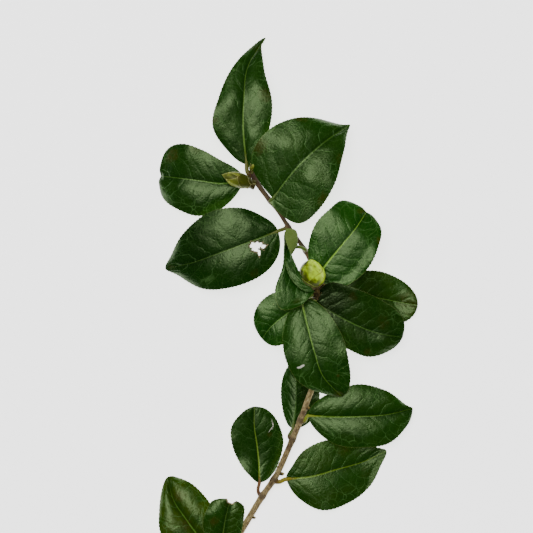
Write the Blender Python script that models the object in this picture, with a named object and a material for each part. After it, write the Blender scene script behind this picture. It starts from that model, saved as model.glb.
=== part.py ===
# Camellia foliage branch: a cut leafy stem lying on a surface, seen from above along -Z.
# Tables are in millimetres on a measuring sheet, x to the right and y up the branch, z above the surface.
# sheet_to_row moves them into the part's frame, whose origin is under the middle of the branch.
import bpy
import bmesh
import numpy as np
from math import cos, pi, radians, sin
from mathutils import Vector

MM = 0.001
SHEET_ORIGIN = (201.77, 154.87)   # the sheet point that lies under the middle of the branch

BLADE = 0.8            # thickness of a leaf blade
BLADE_END = 0.06       # the last part of a blade, which thins to half of that
KEEL = 0.7             # how far the midrib stands out under the blade, at its base
PETIOLE_RADIUS = 0.9
PETIOLE_FOOT = 0.75    # the stalk's radius at the bark, as a part of PETIOLE_RADIUS
PETIOLE_EDGE = 0.25    # half of the stalk's thickness at its sides, as a part of its radius
PETIOLE_STEPS = 4
PETIOLE_HANDLE = 0.4   # length of the curve's handles, as a part of the stalk's length
SEAT_GAP = 0.3         # clearance between a leaf stalk and the bark it grows from
TOOTH = 0.7            # how far a tooth of the leaf margin stands out
TOOTH_PAIRS = 12       # teeth on each margin
TOOTHED = (0.1, 0.97)  # the stretch of the margin with teeth, from base 0 to tip 1
COLUMNS = np.array([-1.0, -0.55, -0.16, 0.16, 0.55, 1.0])   # right margin -1, midrib 0, left margin 1
MIDRIB = 0.3           # the columns nearer than this to the midrib carry the keel
PUFF = 1.8             # how far each half of a blade bulges up beside its midrib
MARGIN_CURL = 1.6      # power of the rise of a blade from its midrib to its margin
SWELL_POWER = 0.6      # how soon the bulge and the waves grow from the blade's ends
WAVE = 0.7             # how far the margins wave up and down
WAVES = 2.5            # waves on each margin
STEM_SIDES = 10
STEM_RINGS = 46
STEM_SAMPLES = 401     # fine steps along the axis, from which the rings are taken
NODE_CROWDING = 120.0  # how much closer together the rings lie where the radius changes
NODE_SWELLING = 0.45   # extra radius where a leaf or bud leaves the stem
NODE_LENGTH = 2.6
SHARP_ANGLE = 50
SCALE_TURN = 2.4       # turn in radians from one bud scale to the next
SCALE_SPREAD = 1.25    # half the width of a bud scale, in radians
SCALE_LENGTH = 0.3     # length of a bud scale beyond its wide part, as a part of the bud
SCALE_RELIEF = 0.06    # how far a bud scale stands out, as a part of the bud's radius
BUD_TIP = 0.25         # radius at the blunt tip of a bud
BUD_BELLY = 0.85       # below 1 the widest place of a bud lies nearer its foot
BUD_BLUNT = 0.62       # below 1 a bud is fuller towards its ends

# Stem axis from the cut end to the tip: x, y, z, radius.
STEM_AXIS = [
    (144.9, -36.4, 2.5, 2.5),
    (164.0, -7.2, 2.9, 2.3),
    (182.3, 23.2, 4.6, 2.2),
    (193.1, 39.3, 6.0, 2.1),
    (201.3, 57.2, 8.0, 2.1),
    (209.4, 76.4, 10.0, 2.1),
    (214.9, 91.5, 11.6, 2.0),
    (219.5, 105.0, 12.8, 1.9),
    (223.5, 128.0, 14.8, 1.8),
    (224.0, 152.0, 16.3, 1.8),
    (222.3, 170.0, 17.0, 1.8),
    (218.4, 186.0, 17.0, 1.5),
    (213.8, 197.4, 17.0, 1.4),
    (202.4, 213.6, 16.8, 1.4),
    (194.6, 225.6, 16.6, 1.35),
    (186.4, 236.0, 16.3, 1.3),
    (179.2, 245.6, 16.0, 1.3),
    (175.9, 253.4, 16.0, 1.4),
]

# Each leaf, as it lies. node is where its stalk meets the stem, base and tip are the ends of the blade.
# bow is how far the midrib runs to the left of the line from base to tip, at 25, 50 and 75 % of it.
# left and right are the blade's widths beside the midrib at 7, 25, 50, 75 and 93 %.
# high is the midrib's height at 0, 25, 50, 75 and 100 %, and lift raises the left and right margins.
# lobe carries the left and right margins back past the base, and puff replaces PUFF.
LEAVES = {
    "leaf_top": dict(
        node=(173.5, 254.2, 16.4), base=(172.6, 258.0), tip=(185.6, 347.3), bow=(5.5, 8.5, 9.0),
        left=(11.0, 21.5, 17.0, 9.5, 4.0), right=(7.5, 17.0, 20.0, 11.5, 0.8),
        high=(16.5, 18.5, 15.0, 7.5, 0.0), lift=(2.0, 0.5)),
    "leaf_upper_right": dict(
        node=(189.0, 232.5, 18.5), base=(191.6, 235.0), tip=(244.9, 285.8), bow=(3.0, 4.0, 3.0),
        left=(20.0, 32.0, 31.0, 21.5, 4.0), right=(25.0, 31.0, 27.0, 15.0, 3.5),
        high=(19.8, 23.5, 25.0, 21.0, 11.0), lift=(-1.0, 0.5), lobe=(0.0, 15.0)),
    "leaf_upper_left": dict(
        node=(175.6, 250.0, 15.5), base=(170.1, 246.7), tip=(110.8, 250.4), bow=(3.0, 2.0, 1.0),
        left=(9.0, 18.0, 24.5, 21.5, 15.0), right=(8.0, 15.5, 21.5, 24.0, 17.5),
        high=(13.0, 12.5, 12.0, 8.5, 0.2), lift=(-3.0, -1.0)),
    "leaf_mid_left": dict(
        node=(201.6, 214.2, 17.0), base=(194.6, 211.4), tip=(115.6, 184.9), bow=(1.0, 1.5, 2.0),
        left=(16.0, 24.5, 25.5, 19.5, 5.0), right=(12.0, 25.0, 29.0, 22.0, 7.0),
        high=(17.0, 20.0, 17.0, 9.0, 0.5), lift=(-3.0, -1.0)),
    "leaf_mid_right": dict(
        node=(222.0, 174.5, 19.0), base=(221.5, 179.0), tip=(256.9, 225.4), bow=(0.0, -0.5, -1.0),
        left=(9.0, 18.0, 23.5, 22.5, 17.5), right=(6.5, 21.5, 24.0, 20.0, 14.5),
        high=(20.2, 21.0, 23.5, 22.0, 11.0), lift=(0.5, -2.0)),
    "leaf_back_right": dict(
        node=(222.8, 171.0, 17.0), base=(229.0, 169.0), tip=(292.7, 159.2), bow=(0.5, 1.0, 0.5),
        left=(9.0, 15.5, 18.5, 16.0, 9.0), right=(9.0, 16.0, 19.0, 17.0, 10.5),
        high=(15.0, 14.0, 10.0, 4.5, 0.0), lift=(0.0, 0.0)),
    "leaf_lower_right": dict(
        node=(222.9, 165.5, 19.0), base=(221.0, 161.2), tip=(281.8, 136.8), bow=(-2.5, -4.0, -3.5),
        left=(14.5, 21.5, 23.5, 21.0, 13.0), right=(9.0, 16.5, 17.5, 17.5, 10.0),
        high=(20.4, 21.5, 21.0, 17.0, 9.0), lift=(-1.0, -1.5)),
    "leaf_small_left": dict(
        node=(223.0, 164.0, 16.5), base=(213.5, 162.4), tip=(183.4, 136.1), bow=(-1.0, -2.0, -2.0),
        left=(8.0, 14.0, 16.5, 15.0, 9.5), right=(10.0, 16.5, 18.0, 16.0, 10.5),
        high=(15.0, 14.0, 13.0, 11.0, 7.0), lift=(-1.0, 0.5)),
    "leaf_front": dict(
        node=(222.4, 168.5, 19.0), base=(211.0, 162.4), tip=(239.0, 95.9), bow=(-3.0, -5.5, -6.5),
        left=(9.5, 17.5, 22.0, 19.8, 10.0), right=(10.5, 18.5, 20.5, 14.5, 4.5),
        high=(24.5, 28.0, 28.5, 25.5, 19.0), lift=(-1.5, -2.0)),
    "leaf_behind_stem": dict(
        node=(203.4, 66.0, 8.0), base=(205.0, 73.0), tip=(207.6, 121.1), bow=(-1.0, -1.0, -0.5),
        left=(4.5, 8.5, 10.5, 9.0, 4.5), right=(6.5, 11.5, 14.0, 12.0, 6.0),
        high=(5.6, 5.6, 6.0, 5.6, 4.0), lift=(0.5, -1.0)),
    "leaf_right": dict(
        node=(212.6, 78.0, 11.0), base=(216.0, 82.0), tip=(289.0, 87.0), bow=(-2.0, -3.0, -3.0),
        left=(5.5, 17.0, 22.5, 17.5, 6.0), right=(9.5, 19.0, 20.5, 18.0, 6.5),
        high=(12.6, 14.5, 14.5, 12.0, 6.5), lift=(0.0, -1.5)),
    "leaf_right_low": dict(
        node=(194.2, 35.4, 5.8), base=(200.5, 37.3), tip=(271.0, 56.8), bow=(-3.0, -3.0, -3.0),
        left=(7.5, 19.5, 21.5, 14.0, 4.5), right=(14.5, 24.5, 25.0, 18.0, 6.0),
        high=(7.0, 8.0, 5.0, -0.2, -0.4), lift=(1.0, -2.0), puff=0.6),
    "leaf_left_low": dict(
        node=(180.8, 27.0, 3.6), base=(181.6, 34.6), tip=(178.1, 88.2), bow=(-0.5, 0.0, 1.0),
        left=(5.0, 12.5, 17.0, 16.0, 8.5), right=(8.0, 14.0, 18.5, 17.0, 10.0),
        high=(1.8, 2.3, 4.0, 5.0, 3.0), lift=(1.5, -1.0)),
    "leaf_bottom_left": dict(
        node=(153.5, -21.5, 2.9), base=(149.8, -16.1), tip=(116.8, 38.2), bow=(1.5, 3.0, 4.3),
        left=(9.0, 15.0, 16.0, 11.8, 4.5), right=(9.0, 16.0, 18.5, 16.0, 5.5),
        high=(3.2, 4.5, 4.0, 1.5, 0.0), lift=(0.0, 0.5)),
    "leaf_bottom_bitten": dict(
        node=(155.0, -19.5, 5.0), base=(154.7, -14.5), tip=(161.4, 23.5), bow=(0.7, 1.2, 1.0),
        left=(7.0, 12.5, 15.0, 13.8, 11.0), right=(6.0, 11.0, 12.5, 12.2, 9.5),
        high=(6.6, 8.5, 10.0, 10.0, 8.0), lift=(0.0, 0.5)),
}

# The folded leaf stands on edge and bends over, so it is given by four rails from base to tip:
# left margin, midrib, the bulge of its folded right half, and right margin.
FOLDED_NODE = (213.8, 197.8, 18.5)
FOLD_BULGE = 0.1       # place of the bulge rail between midrib 0 and right margin 1, as the columns count it
FOLD_NEAR = 0.45       # place of the column beside the midrib, between the midrib and the bulge
FOLD_END = 0.6         # half the width of the blade's two ends, as a part of PETIOLE_RADIUS
FOLDED_RAILS = [
    [(207.9, 200.2, 24.0), (207.9, 200.2, 24.0), (207.9, 200.2, 24.0), (207.9, 200.2, 24.0)],
    [(202.3, 212.8, 36.0), (203.7, 196.7, 27.0), (208.3, 206.5, 34.0), (203.7, 211.4, 38.0)],
    [(199.9, 203.0, 36.0), (201.3, 189.7, 30.0), (207.6, 198.1, 35.0), (201.3, 203.0, 39.5)],
    [(199.0, 186.5, 35.0), (201.6, 182.0, 32.0), (204.6, 187.5, 36.0), (205.8, 191.8, 39.3)],
    [(192.9, 170.8, 34.5), (204.4, 175.0, 33.0), (207.4, 179.0, 36.0), (209.1, 182.9, 39.0)],
    [(198.1, 157.2, 33.5), (209.3, 170.1, 34.0), (211.8, 172.3, 36.2), (213.8, 175.4, 38.2)],
    [(210.5, 159.6, 34.0), (214.6, 168.7, 34.8), (216.0, 169.5, 35.5), (217.4, 171.2, 36.6)],
    [(219.7, 169.1, 35.5), (219.7, 169.1, 35.5), (219.7, 169.1, 35.5), (219.7, 169.1, 35.5)],
]

# Holes that insects have eaten through the blades, by leaf: half sizes, turn in radians, the number of
# points round the rim, and how ragged it is.
HOLES = {
    "leaf_mid_left": dict(
        centre=(180.6, 199.2, 15.0), size=(5.6, 4.2, 8.0), turn=0.4, points=14, ragged=0.28),
    "leaf_front": dict(
        centre=(210.0, 116.6, 25.0), size=(2.8, 1.4, 8.0), turn=0.1, points=8, ragged=0.15),
    "leaf_bottom_bitten": dict(
        centre=(162.4, 23.6, 9.0), size=(3.4, 2.6, 8.0), turn=0.2, points=8, ragged=0.1),
}

# Small resting buds on the stem, above the leaf scars: a point beside the bark, and the bud's length.
AXIL_BUDS = [
    ((177.0, 9.8, 4.2), 2.4),
    ((196.8, 40.8, 7.0), 2.8),
    ((216.0, 86.4, 13.4), 2.6),
    ((226.0, 174.0, 17.6), 3.0),
]
AXIL_LEAN = 0.6        # how far they lean along the stem
AXIL_LIFT = 0.14       # their foot's distance from the seat, as a part of their length
AXIL_RADIUS = 0.28
AXIL_STALK = 0.22

LEAF_GREEN = (0.018, 0.060, 0.016)
BARK_BROWN = (0.30, 0.22, 0.15)
BUD_GREEN = (0.40, 0.50, 0.14)
SCALE_OLIVE = (0.27, 0.27, 0.12)
SCALE_BROWN = (0.26, 0.13, 0.07)


def clear_scene():
    for old in list(bpy.data.objects):
        bpy.data.objects.remove(old, do_unlink=True)


def sheet_to_row(points):
    return (np.asarray(points, float) - (*SHEET_ORIGIN, 0.0)) * MM


def through(keys, t):
    """A smooth curve through evenly spaced keys, read at t from 0 to 1."""
    keys = np.asarray(keys, float)
    spans = len(keys) - 1
    place = np.clip(np.asarray(t, float), 0, 1) * spans
    i = np.minimum(place.astype(int), spans - 1)
    f = (place - i).reshape(-1, *[1] * (keys.ndim - 1))
    ends = np.concatenate([[2 * keys[0] - keys[1]], keys, [2 * keys[-1] - keys[-2]]])
    a, b, c, d = ends[i], ends[i + 1], ends[i + 2], ends[i + 3]
    return 0.5 * (2 * b + (c - a) * f + (2 * a - 5 * b + 4 * c - d) * f**2 + (3 * b - a - 3 * c + d) * f**3)


def unit(v):
    return v / np.maximum(np.linalg.norm(v, axis=-1, keepdims=True), 1e-9)


def principled(name, colour, roughness):
    material = bpy.data.materials.new(name)
    material.use_nodes = True
    shader = material.node_tree.nodes["Principled BSDF"]
    shader.inputs["Base Color"].default_value = (*colour, 1)
    shader.inputs["Roughness"].default_value = roughness
    shader.inputs["Metallic"].default_value = 0
    return material


def make_object(name, points, faces, colour, roughness):
    mesh = bpy.data.meshes.new(name)
    mesh.from_pydata([Vector(p) for p in sheet_to_row(points)], [], faces)
    build = bmesh.new()
    build.from_mesh(mesh)
    bmesh.ops.recalc_face_normals(build, faces=build.faces)
    bmesh.ops.triangulate(build, faces=[f for f in build.faces if len(f.verts) > 4])
    build.to_mesh(mesh)
    build.free()
    mesh.materials.append(principled(name, colour, roughness))
    mesh.shade_smooth()
    mesh.set_sharp_from_angle(angle=radians(SHARP_ANGLE))
    body = bpy.data.objects.new(name, mesh)
    bpy.context.collection.objects.link(body)
    return body


def tube_faces(rings, sides):
    """Triangles of a closed tube of rings, each with the same number of sides."""
    faces = []
    for i in range(rings - 1):
        for j in range(sides):
            a = i * sides + j
            b = i * sides + (j + 1) % sides
            faces += [(a, b, b + sides), (a, b + sides, a + sides)]
    last = (rings - 1) * sides
    faces.append(tuple(reversed(range(sides))))
    faces.append(tuple(range(last, last + sides)))
    return faces


def frames_along(path, up=(0, 0, 1)):
    """Tangent, side and upward vectors at each point of a path."""
    tangent = unit(np.gradient(path, axis=0))
    side = unit(np.cross(np.broadcast_to(np.asarray(up, float), path.shape), tangent))
    return tangent, side, np.cross(tangent, side)


class Stem:
    """The stem's axis, with its radius and the swellings where leaves and buds leave it."""

    def __init__(self, axis, nodes):
        keyed = through(axis, np.linspace(0, 1, STEM_SAMPLES))
        self.points, self.radii = keyed[:, :3], keyed[:, 3]
        self.tangents = unit(np.gradient(self.points, axis=0))
        length = np.concatenate([[0], np.cumsum(np.linalg.norm(np.diff(self.points, axis=0), axis=1))])
        swell = np.zeros(STEM_SAMPLES)
        for node in nodes:
            away = length - length[self.nearest(node)]
            swell = np.maximum(swell, NODE_SWELLING * np.exp(-(away / NODE_LENGTH) ** 2))
        self.radii = self.radii + swell

    def nearest(self, point):
        return int(np.argmin(np.linalg.norm(self.points - np.asarray(point, float), axis=1)))

    def seat(self, point):
        """The place just off the bark beside a point, and the way out of the bark there."""
        i = self.nearest(point)
        out = np.asarray(point, float) - self.points[i]
        out = unit(out - out @ self.tangents[i] * self.tangents[i])
        return self.points[i] + out * (self.radii[i] + SEAT_GAP), out

    def stations(self):
        """Places along the axis, closer together where the radius changes."""
        stretch = np.cumsum(1.0 + NODE_CROWDING * np.abs(np.gradient(self.radii)))
        places = np.interp(np.linspace(stretch[0], stretch[-1], STEM_RINGS), stretch, np.arange(STEM_SAMPLES))
        return places.round().astype(int)


def make_stem(stem):
    rows = stem.stations()
    path, radii = stem.points[rows], stem.radii[rows]
    _, side, up = frames_along(path)
    turn = np.arange(STEM_SIDES) * 2 * pi / STEM_SIDES
    ring = side[:, None] * np.cos(turn)[None, :, None] + up[:, None] * np.sin(turn)[None, :, None]
    points = path[:, None] + ring * radii[:, None, None]
    points[..., 2] = np.maximum(points[..., 2], 0.0)
    return make_object("stem", points.reshape(-1, 3), tube_faces(len(rows), STEM_SIDES), BARK_BROWN, 0.8)


def stations():
    """Places along a blade from 0 at its base to 1 at its tip, closer together at the ends."""
    turn = np.linspace(0, pi, 2 * TOOTH_PAIRS + 1)
    return turn, (1 - np.cos(turn)) / 2


def teeth(u):
    """How far each place along the margin stands out: every other one is the point of a tooth."""
    return TOOTH * (np.arange(len(u)) % 2) * (u > TOOTHED[0]) * (u < TOOTHED[1])


def blade_surface(leaf):
    """The blade's middle surface, one row of points for each station from base to tip."""
    turn, u = stations()
    base, tip = np.array(leaf["base"]), np.array(leaf["tip"])
    along = tip - base
    across = np.array([-along[1], along[0]]) / np.linalg.norm(along)
    bow = through((0, *leaf["bow"], 0), u)
    middle = base + u[:, None] * along + bow[:, None] * across
    high = through(leaf["high"], u)
    swell = np.sin(turn) ** SWELL_POWER
    wave = WAVE * np.sin(2 * pi * WAVES * u + base[0]) * swell
    rows = []
    for v in COLUMNS:
        side = 0 if v > 0 else 1
        widths = leaf[("left", "right")[side]]
        width = np.maximum(through((0, *widths, 0), turn / pi), PETIOLE_RADIUS * (1 - 0.5 * u))
        if abs(v) == 1:
            width = width + teeth(u)
        back = leaf.get("lobe", (0, 0))[side] * (1 - u) ** 4 * v * v * np.sin(turn / 2 + 0.3)
        plan = middle + across * (v * width)[:, None] - unit(along) * back[:, None]
        puff = leaf.get("puff", PUFF) * 4 * abs(v) * (1 - abs(v))
        z = high + swell * (leaf["lift"][side] * abs(v) ** MARGIN_CURL + puff) + wave * v**3
        rows.append(np.column_stack([plan, z]))
    return u, np.stack(rows, 1)


def folded_surface():
    """The folded leaf's middle surface, from its four rails."""
    u = stations()[1]
    left, middle, bulge, right = through(FOLDED_RAILS, u).transpose(1, 0, 2)
    rows = []
    for v in COLUMNS:
        if v > 0:
            rows.append(middle + v * (left - middle))
        elif v > -0.5:
            rows.append(middle + FOLD_NEAR * (bulge - middle))
        else:
            rows.append(bulge + (-v - FOLD_BULGE) / (1 - FOLD_BULGE) * (right - bulge))
    surface = np.stack(rows, 1)
    out = unit(surface[:, -1] - surface[:, -2])
    surface[1:-1, -1] += (out * teeth(u)[:, None])[1:-1]
    for end, beside in ((0, 1), (-1, -2)):
        spread = unit(surface[beside, -1] - surface[beside, 0])
        surface[end] = surface[end, 2] + spread * COLUMNS[:, None] * PETIOLE_RADIUS * FOLD_END
    return u, surface


def surface_normals(surface):
    down_leaf = np.gradient(surface, axis=0)
    to_left = np.gradient(surface, axis=1)
    return unit(np.cross(down_leaf, to_left))


def stalk_rings(start, out, base, lead, side):
    """Rings of a leaf stalk on a Bezier curve from the bark to the blade, as upper and lower points."""
    handle = PETIOLE_HANDLE * np.linalg.norm(base - start)
    p1, p2 = start + out * handle, base - lead * handle
    angle = np.arccos(COLUMNS)
    upper, lower = [], []
    for k in range(PETIOLE_STEPS):
        t = k / PETIOLE_STEPS
        centre = (1 - t) ** 3 * start + 3 * t * (1 - t) ** 2 * p1 + 3 * t * t * (1 - t) * p2 + t**3 * base
        way = (1 - t) ** 2 * (p1 - start) + 2 * t * (1 - t) * (p2 - p1) + t * t * (base - p2)
        way = out if k == 0 else unit(way)
        wide = unit(side - side @ way * way)
        high = np.cross(way, wide)
        radius = PETIOLE_RADIUS * (PETIOLE_FOOT if k == 0 else 1.0)
        reach = np.outer(np.cos(angle) * radius, wide)
        rise = np.outer((PETIOLE_EDGE + (1 - PETIOLE_EDGE) * np.sin(angle)) * radius, high)
        upper.append(centre + reach + rise)
        lower.append(centre + reach - rise)
    return np.array(upper), np.array(lower)


def make_leaf(name, u, surface, stem, node):
    normals = surface_normals(surface)
    normals[0], normals[-1] = normals[1], normals[-2]
    half = BLADE / 4 * (1 + np.minimum(1, (1 - u) / BLADE_END))[:, None, None]
    keel = KEEL * (1 - u)[:, None] * (abs(COLUMNS) < MIDRIB)
    upper = surface + normals * half
    lower = surface - normals * (half + keel[..., None])
    upper[..., 2] = np.maximum(upper[..., 2], BLADE)
    lower[..., 2] = np.maximum(lower[..., 2], 0.0)

    start, out = stem.seat(node)
    base = surface[0].mean(0)
    lead = unit(surface[2].mean(0) - base)
    side = unit(surface[1, -1] - surface[1, 0])
    stalk_upper, stalk_lower = stalk_rings(start, out, base, lead, side)
    upper = np.concatenate([stalk_upper, upper])
    lower = np.concatenate([stalk_lower, lower])

    count = len(COLUMNS)
    rings = np.concatenate([upper, lower[:, ::-1]], axis=1)
    sides = 2 * count
    faces = []
    for i in range(len(rings) - 1):
        for j in range(sides):
            a, b = i * sides + j, i * sides + (j + 1) % sides
            if j < count:
                faces += [(a, b, b + sides), (a, b + sides, a + sides)]
            else:
                faces += [(a, b, a + sides), (b, b + sides, a + sides)]
    last = (len(rings) - 1) * sides
    for j in range(count - 1):
        a, b, c, d = j, j + 1, sides - 2 - j, sides - 1 - j
        faces += [(a, c, b), (a, d, c)]
        faces += [(last + a, last + b, last + c), (last + a, last + c, last + d)]
    return make_object(name, rings.reshape(-1, 3), faces, LEAF_GREEN, 0.3)


def punch(body, name, hole):
    """Cut a ragged hole through a blade, with a cutter that stays hidden beside it."""
    build = bmesh.new()
    low, high = [], []
    (cx, cy, cz), (half_x, half_y, half_z) = hole["centre"], hole["size"]
    turn, points = hole["turn"], hole["points"]
    for k in range(points):
        angle = 2 * pi * k / points
        reach = 1 + hole["ragged"] * sin(5 * angle + 1) * cos(2 * angle)
        x, y = half_x * reach * cos(angle), half_y * reach * sin(angle)
        plan = (cx + x * cos(turn) - y * sin(turn), cy + x * sin(turn) + y * cos(turn))
        for level, ring in ((-1, low), (1, high)):
            ring.append(build.verts.new(sheet_to_row((*plan, cz + level * half_z))))
    build.faces.new(list(reversed(low)))
    build.faces.new(high)
    for k in range(points):
        m = (k + 1) % points
        build.faces.new((low[k], low[m], high[m], high[k]))
    mesh = bpy.data.meshes.new(name)
    bmesh.ops.recalc_face_normals(build, faces=build.faces)
    build.to_mesh(mesh)
    build.free()
    cutter = bpy.data.objects.new(name, mesh)
    bpy.context.collection.objects.link(cutter)
    cutter.hide_render = True
    cutter.display_type = "WIRE"
    cut = body.modifiers.new(name, "BOOLEAN")
    cut.operation = "DIFFERENCE"
    cut.solver = "EXACT"
    cut.object = cutter


def make_bud(name, foot, tip, radius, stalk, scales, colour, steps=14, sides=16):
    """A bud of overlapping scales, raised from one turned surface by a formula."""
    foot, tip = np.array(foot, float), np.array(tip, float)
    length = np.linalg.norm(tip - foot)
    way = unit(tip - foot)
    side = unit(np.cross((0.3, 0.2, 1.0), way))
    up = np.cross(way, side)
    rings = []
    for s in np.linspace(0, 1, steps):
        body = radius * max(0.0, sin(pi * s**BUD_BELLY)) ** BUD_BLUNT if 0 < s < 1 else 0
        body = max(body, stalk * (1 - s) ** 2 + BUD_TIP)
        ring = []
        for k in range(sides):
            turn = 2 * pi * k / sides
            relief = 0
            for scale in range(scales):
                order = scale / scales
                facing = (scale * SCALE_TURN + pi - turn) % (2 * pi) - pi
                wide_to = 0.25 + 0.4 * order
                inside = 1 - (facing / SCALE_SPREAD) ** 2 - (max(0, s - wide_to) / SCALE_LENGTH) ** 2
                relief = max(relief, min(1, 3 * inside) * (1 - order / 2))
            reach = body * (1 + SCALE_RELIEF * relief)
            ring.append(foot + way * s * length + side * reach * cos(turn) + up * reach * sin(turn))
        rings.append(ring)
    return make_object(name, np.array(rings).reshape(-1, 3), tube_faces(steps, sides), colour, 0.5)


def main():
    clear_scene()
    nodes = [leaf["node"] for leaf in LEAVES.values()] + [FOLDED_NODE]
    stem = Stem(STEM_AXIS, nodes)
    make_stem(stem)

    leaves = {}
    for name, leaf in LEAVES.items():
        u, surface = blade_surface(leaf)
        leaves[name] = make_leaf(name, u, surface, stem, leaf["node"])
    u, surface = folded_surface()
    make_leaf("leaf_folded", u, surface, stem, FOLDED_NODE)

    for name, hole in HOLES.items():
        punch(leaves[name], f"{name}_hole", hole)

    make_bud("flower_bud", (220.0, 172.6, 25.4), (218.5, 190.6, 39.6), 8.9, 1.6, 7, BUD_GREEN, 18, 24)
    make_bud("leaf_bud_side", (176.4, 244.5, 17.5), (155.4, 250.2, 23.0), 4.8, 1.3, 4, SCALE_OLIVE)
    make_bud("leaf_bud_end", (176.4, 254.6, 17.2), (177.4, 258.4, 21.0), 1.4, 0.9, 2, SCALE_BROWN, 8, 10)
    for k, (point, length) in enumerate(AXIL_BUDS, 1):
        seat, out = stem.seat(point)
        foot = seat + AXIL_LIFT * length * out
        tip = foot + unit(out + AXIL_LEAN * stem.tangents[stem.nearest(point)]) * length
        make_bud(f"axil_bud_{k}", foot, tip, AXIL_RADIUS * length, AXIL_STALK * length, 2, SCALE_BROWN, 7, 8)


main()
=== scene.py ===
# Camellia foliage branch: a cut leafy twig with a round flower bud, seen from straight above.
# Leaf, stem and bud tables are in millimetres on a measuring sheet, x to the right and y up the branch.
from functools import partial
from math import pi, radians

import bpy
import numpy as np
from mathutils import Matrix, Vector


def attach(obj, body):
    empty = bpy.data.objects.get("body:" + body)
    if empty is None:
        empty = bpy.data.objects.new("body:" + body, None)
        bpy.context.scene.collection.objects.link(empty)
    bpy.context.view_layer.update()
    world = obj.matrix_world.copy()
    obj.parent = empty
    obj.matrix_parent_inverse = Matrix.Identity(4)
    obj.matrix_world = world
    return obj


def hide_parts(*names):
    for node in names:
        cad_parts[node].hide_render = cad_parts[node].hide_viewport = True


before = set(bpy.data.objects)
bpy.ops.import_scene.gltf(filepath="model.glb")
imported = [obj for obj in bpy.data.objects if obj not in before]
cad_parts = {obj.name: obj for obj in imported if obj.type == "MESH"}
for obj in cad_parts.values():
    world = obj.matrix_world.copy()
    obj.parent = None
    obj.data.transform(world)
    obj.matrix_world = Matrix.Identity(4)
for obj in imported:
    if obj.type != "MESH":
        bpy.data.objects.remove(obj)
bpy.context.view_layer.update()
print("frame loaded:", len(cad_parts), "nodes")

mm = 0.001
sheetOrigin = (201.77, 154.87)    # the sheet point under the middle of the branch


# Small tools

def linear(code):
    channels = [int(code[i:i + 2], 16) / 255 for i in (1, 3, 5)]
    return tuple(c / 12.92 if c <= 0.04045 else ((c + 0.055) / 1.055) ** 2.4 for c in channels)


def colour(code):
    return (*linear(code), 1.0)


def toRow(points):
    return (np.asarray(points, float) - (*sheetOrigin, 0.0)) * mm


def unit(v):
    return v / np.maximum(np.linalg.norm(v, axis=-1, keepdims=True), 1e-9)


# A smooth curve through evenly spaced keys, read at t from 0 to 1
def through(keys, t):
    keys = np.asarray(keys, float)
    spans = len(keys) - 1
    place = np.clip(np.asarray(t, float), 0, 1) * spans
    i = np.minimum(place.astype(int), spans - 1)
    f = (place - i).reshape(-1, *[1] * (keys.ndim - 1))
    ends = np.concatenate([[2 * keys[0] - keys[1]], keys, [2 * keys[-1] - keys[-2]]])
    a, b, c, d = ends[i], ends[i + 1], ends[i + 2], ends[i + 3]
    return 0.5 * (2 * b + (c - a) * f + (2 * a - 5 * b + 4 * c - d) * f**2 + (3 * b - a - 3 * c + d) * f**3)


def smooth(low, high, x):
    t = np.clip((np.asarray(x, float) - low) / (high - low), 0, 1)
    return t * t * (3 - 2 * t)


# Short names for the nodes that come up most, some with their settings
noiseNode, readNode, vectorNode, splitNode, combineNode, cellNode = [
    "ShaderNode" + name
    for name in ("TexNoise", "Attribute", "VectorMath", "SeparateXYZ", "CombineXYZ", "TexVoronoi")]
fieldNode, storeNode, placeNode, moveNode = [
    "GeometryNode" + name
    for name in ("InputNamedAttribute", "StoreNamedAttribute", "InputPosition", "SetPosition")]
(add, subtract, multiply, multiplyAdd, divide, power, absolute, maximum, sine, cosine, less, greater, near,
 fraction, roundDown) = [
    ("ShaderNodeMath", {"operation": name})
    for name in (
        "ADD", "SUBTRACT", "MULTIPLY", "MULTIPLY_ADD", "DIVIDE", "POWER", "ABSOLUTE", "MAXIMUM", "SINE",
        "COSINE", "LESS_THAN", "GREATER_THAN", "COMPARE", "FRACT", "FLOOR")]
straight = ("ShaderNodeMapRange", {})
eased = ("ShaderNodeMapRange", {"interpolation_type": "SMOOTHSTEP"})
tinted = ("ShaderNodeMix", {"data_type": "RGBA"})
cellEdges = (cellNode, {"feature": "DISTANCE_TO_EDGE"})
pointFloat = {"data_type": "FLOAT", "domain": "POINT"}
noiseKeys = ("Scale", "Detail", "Roughness")


# Adds a node with its settings and inputs, given in order or by name, and returns one output
def addNode(tree, kind, settings, inputs, out=0):
    node = tree.nodes.new(kind)
    for name, value in settings.items():
        setattr(node, name, value)
    pairs = inputs.items() if isinstance(inputs, dict) else enumerate(inputs)
    for key, value in pairs:
        if isinstance(value, bpy.types.NodeSocket):
            tree.links.new(value, node.inputs[key])
        else:
            node.inputs[key].default_value = value
    return node.outputs[out] if len(node.outputs) > out else node


# Adds nodes one after another, each with the one before it as its first input
def chain(put, value, *steps):
    for node, *inputs in steps:
        value = put(*node, [value, *inputs])
    return value


# A material, the function that puts a node into its tree, and its shader
def newMaterial(name):
    material = bpy.data.materials.new(name)
    material.use_nodes = True
    tree = material.node_tree
    return material, partial(addNode, tree), tree.nodes["Principled BSDF"]


def link(socket, shader, name):
    shader.id_data.links.new(socket, shader.inputs[name])


# Gives a shader its colour and its fine relief, whose depth is in mm
def coverShader(put, shader, skin, height, strength, depth):
    bump = put("ShaderNodeBump", {}, {"Strength": strength, "Distance": depth * mm, "Height": height})
    link(skin, shader, "Base Color")
    link(bump, shader, "Normal")


# Sets a colour ramp's (place, colour) pairs
def fillRamp(ramp, tones):
    for end in (0, -1):
        ramp.elements[end].position, ramp.elements[end].color = tones[end][0], colour(tones[end][1])
    for place, code in tones[1:-1]:
        ramp.elements.new(place).color = colour(code)


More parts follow.
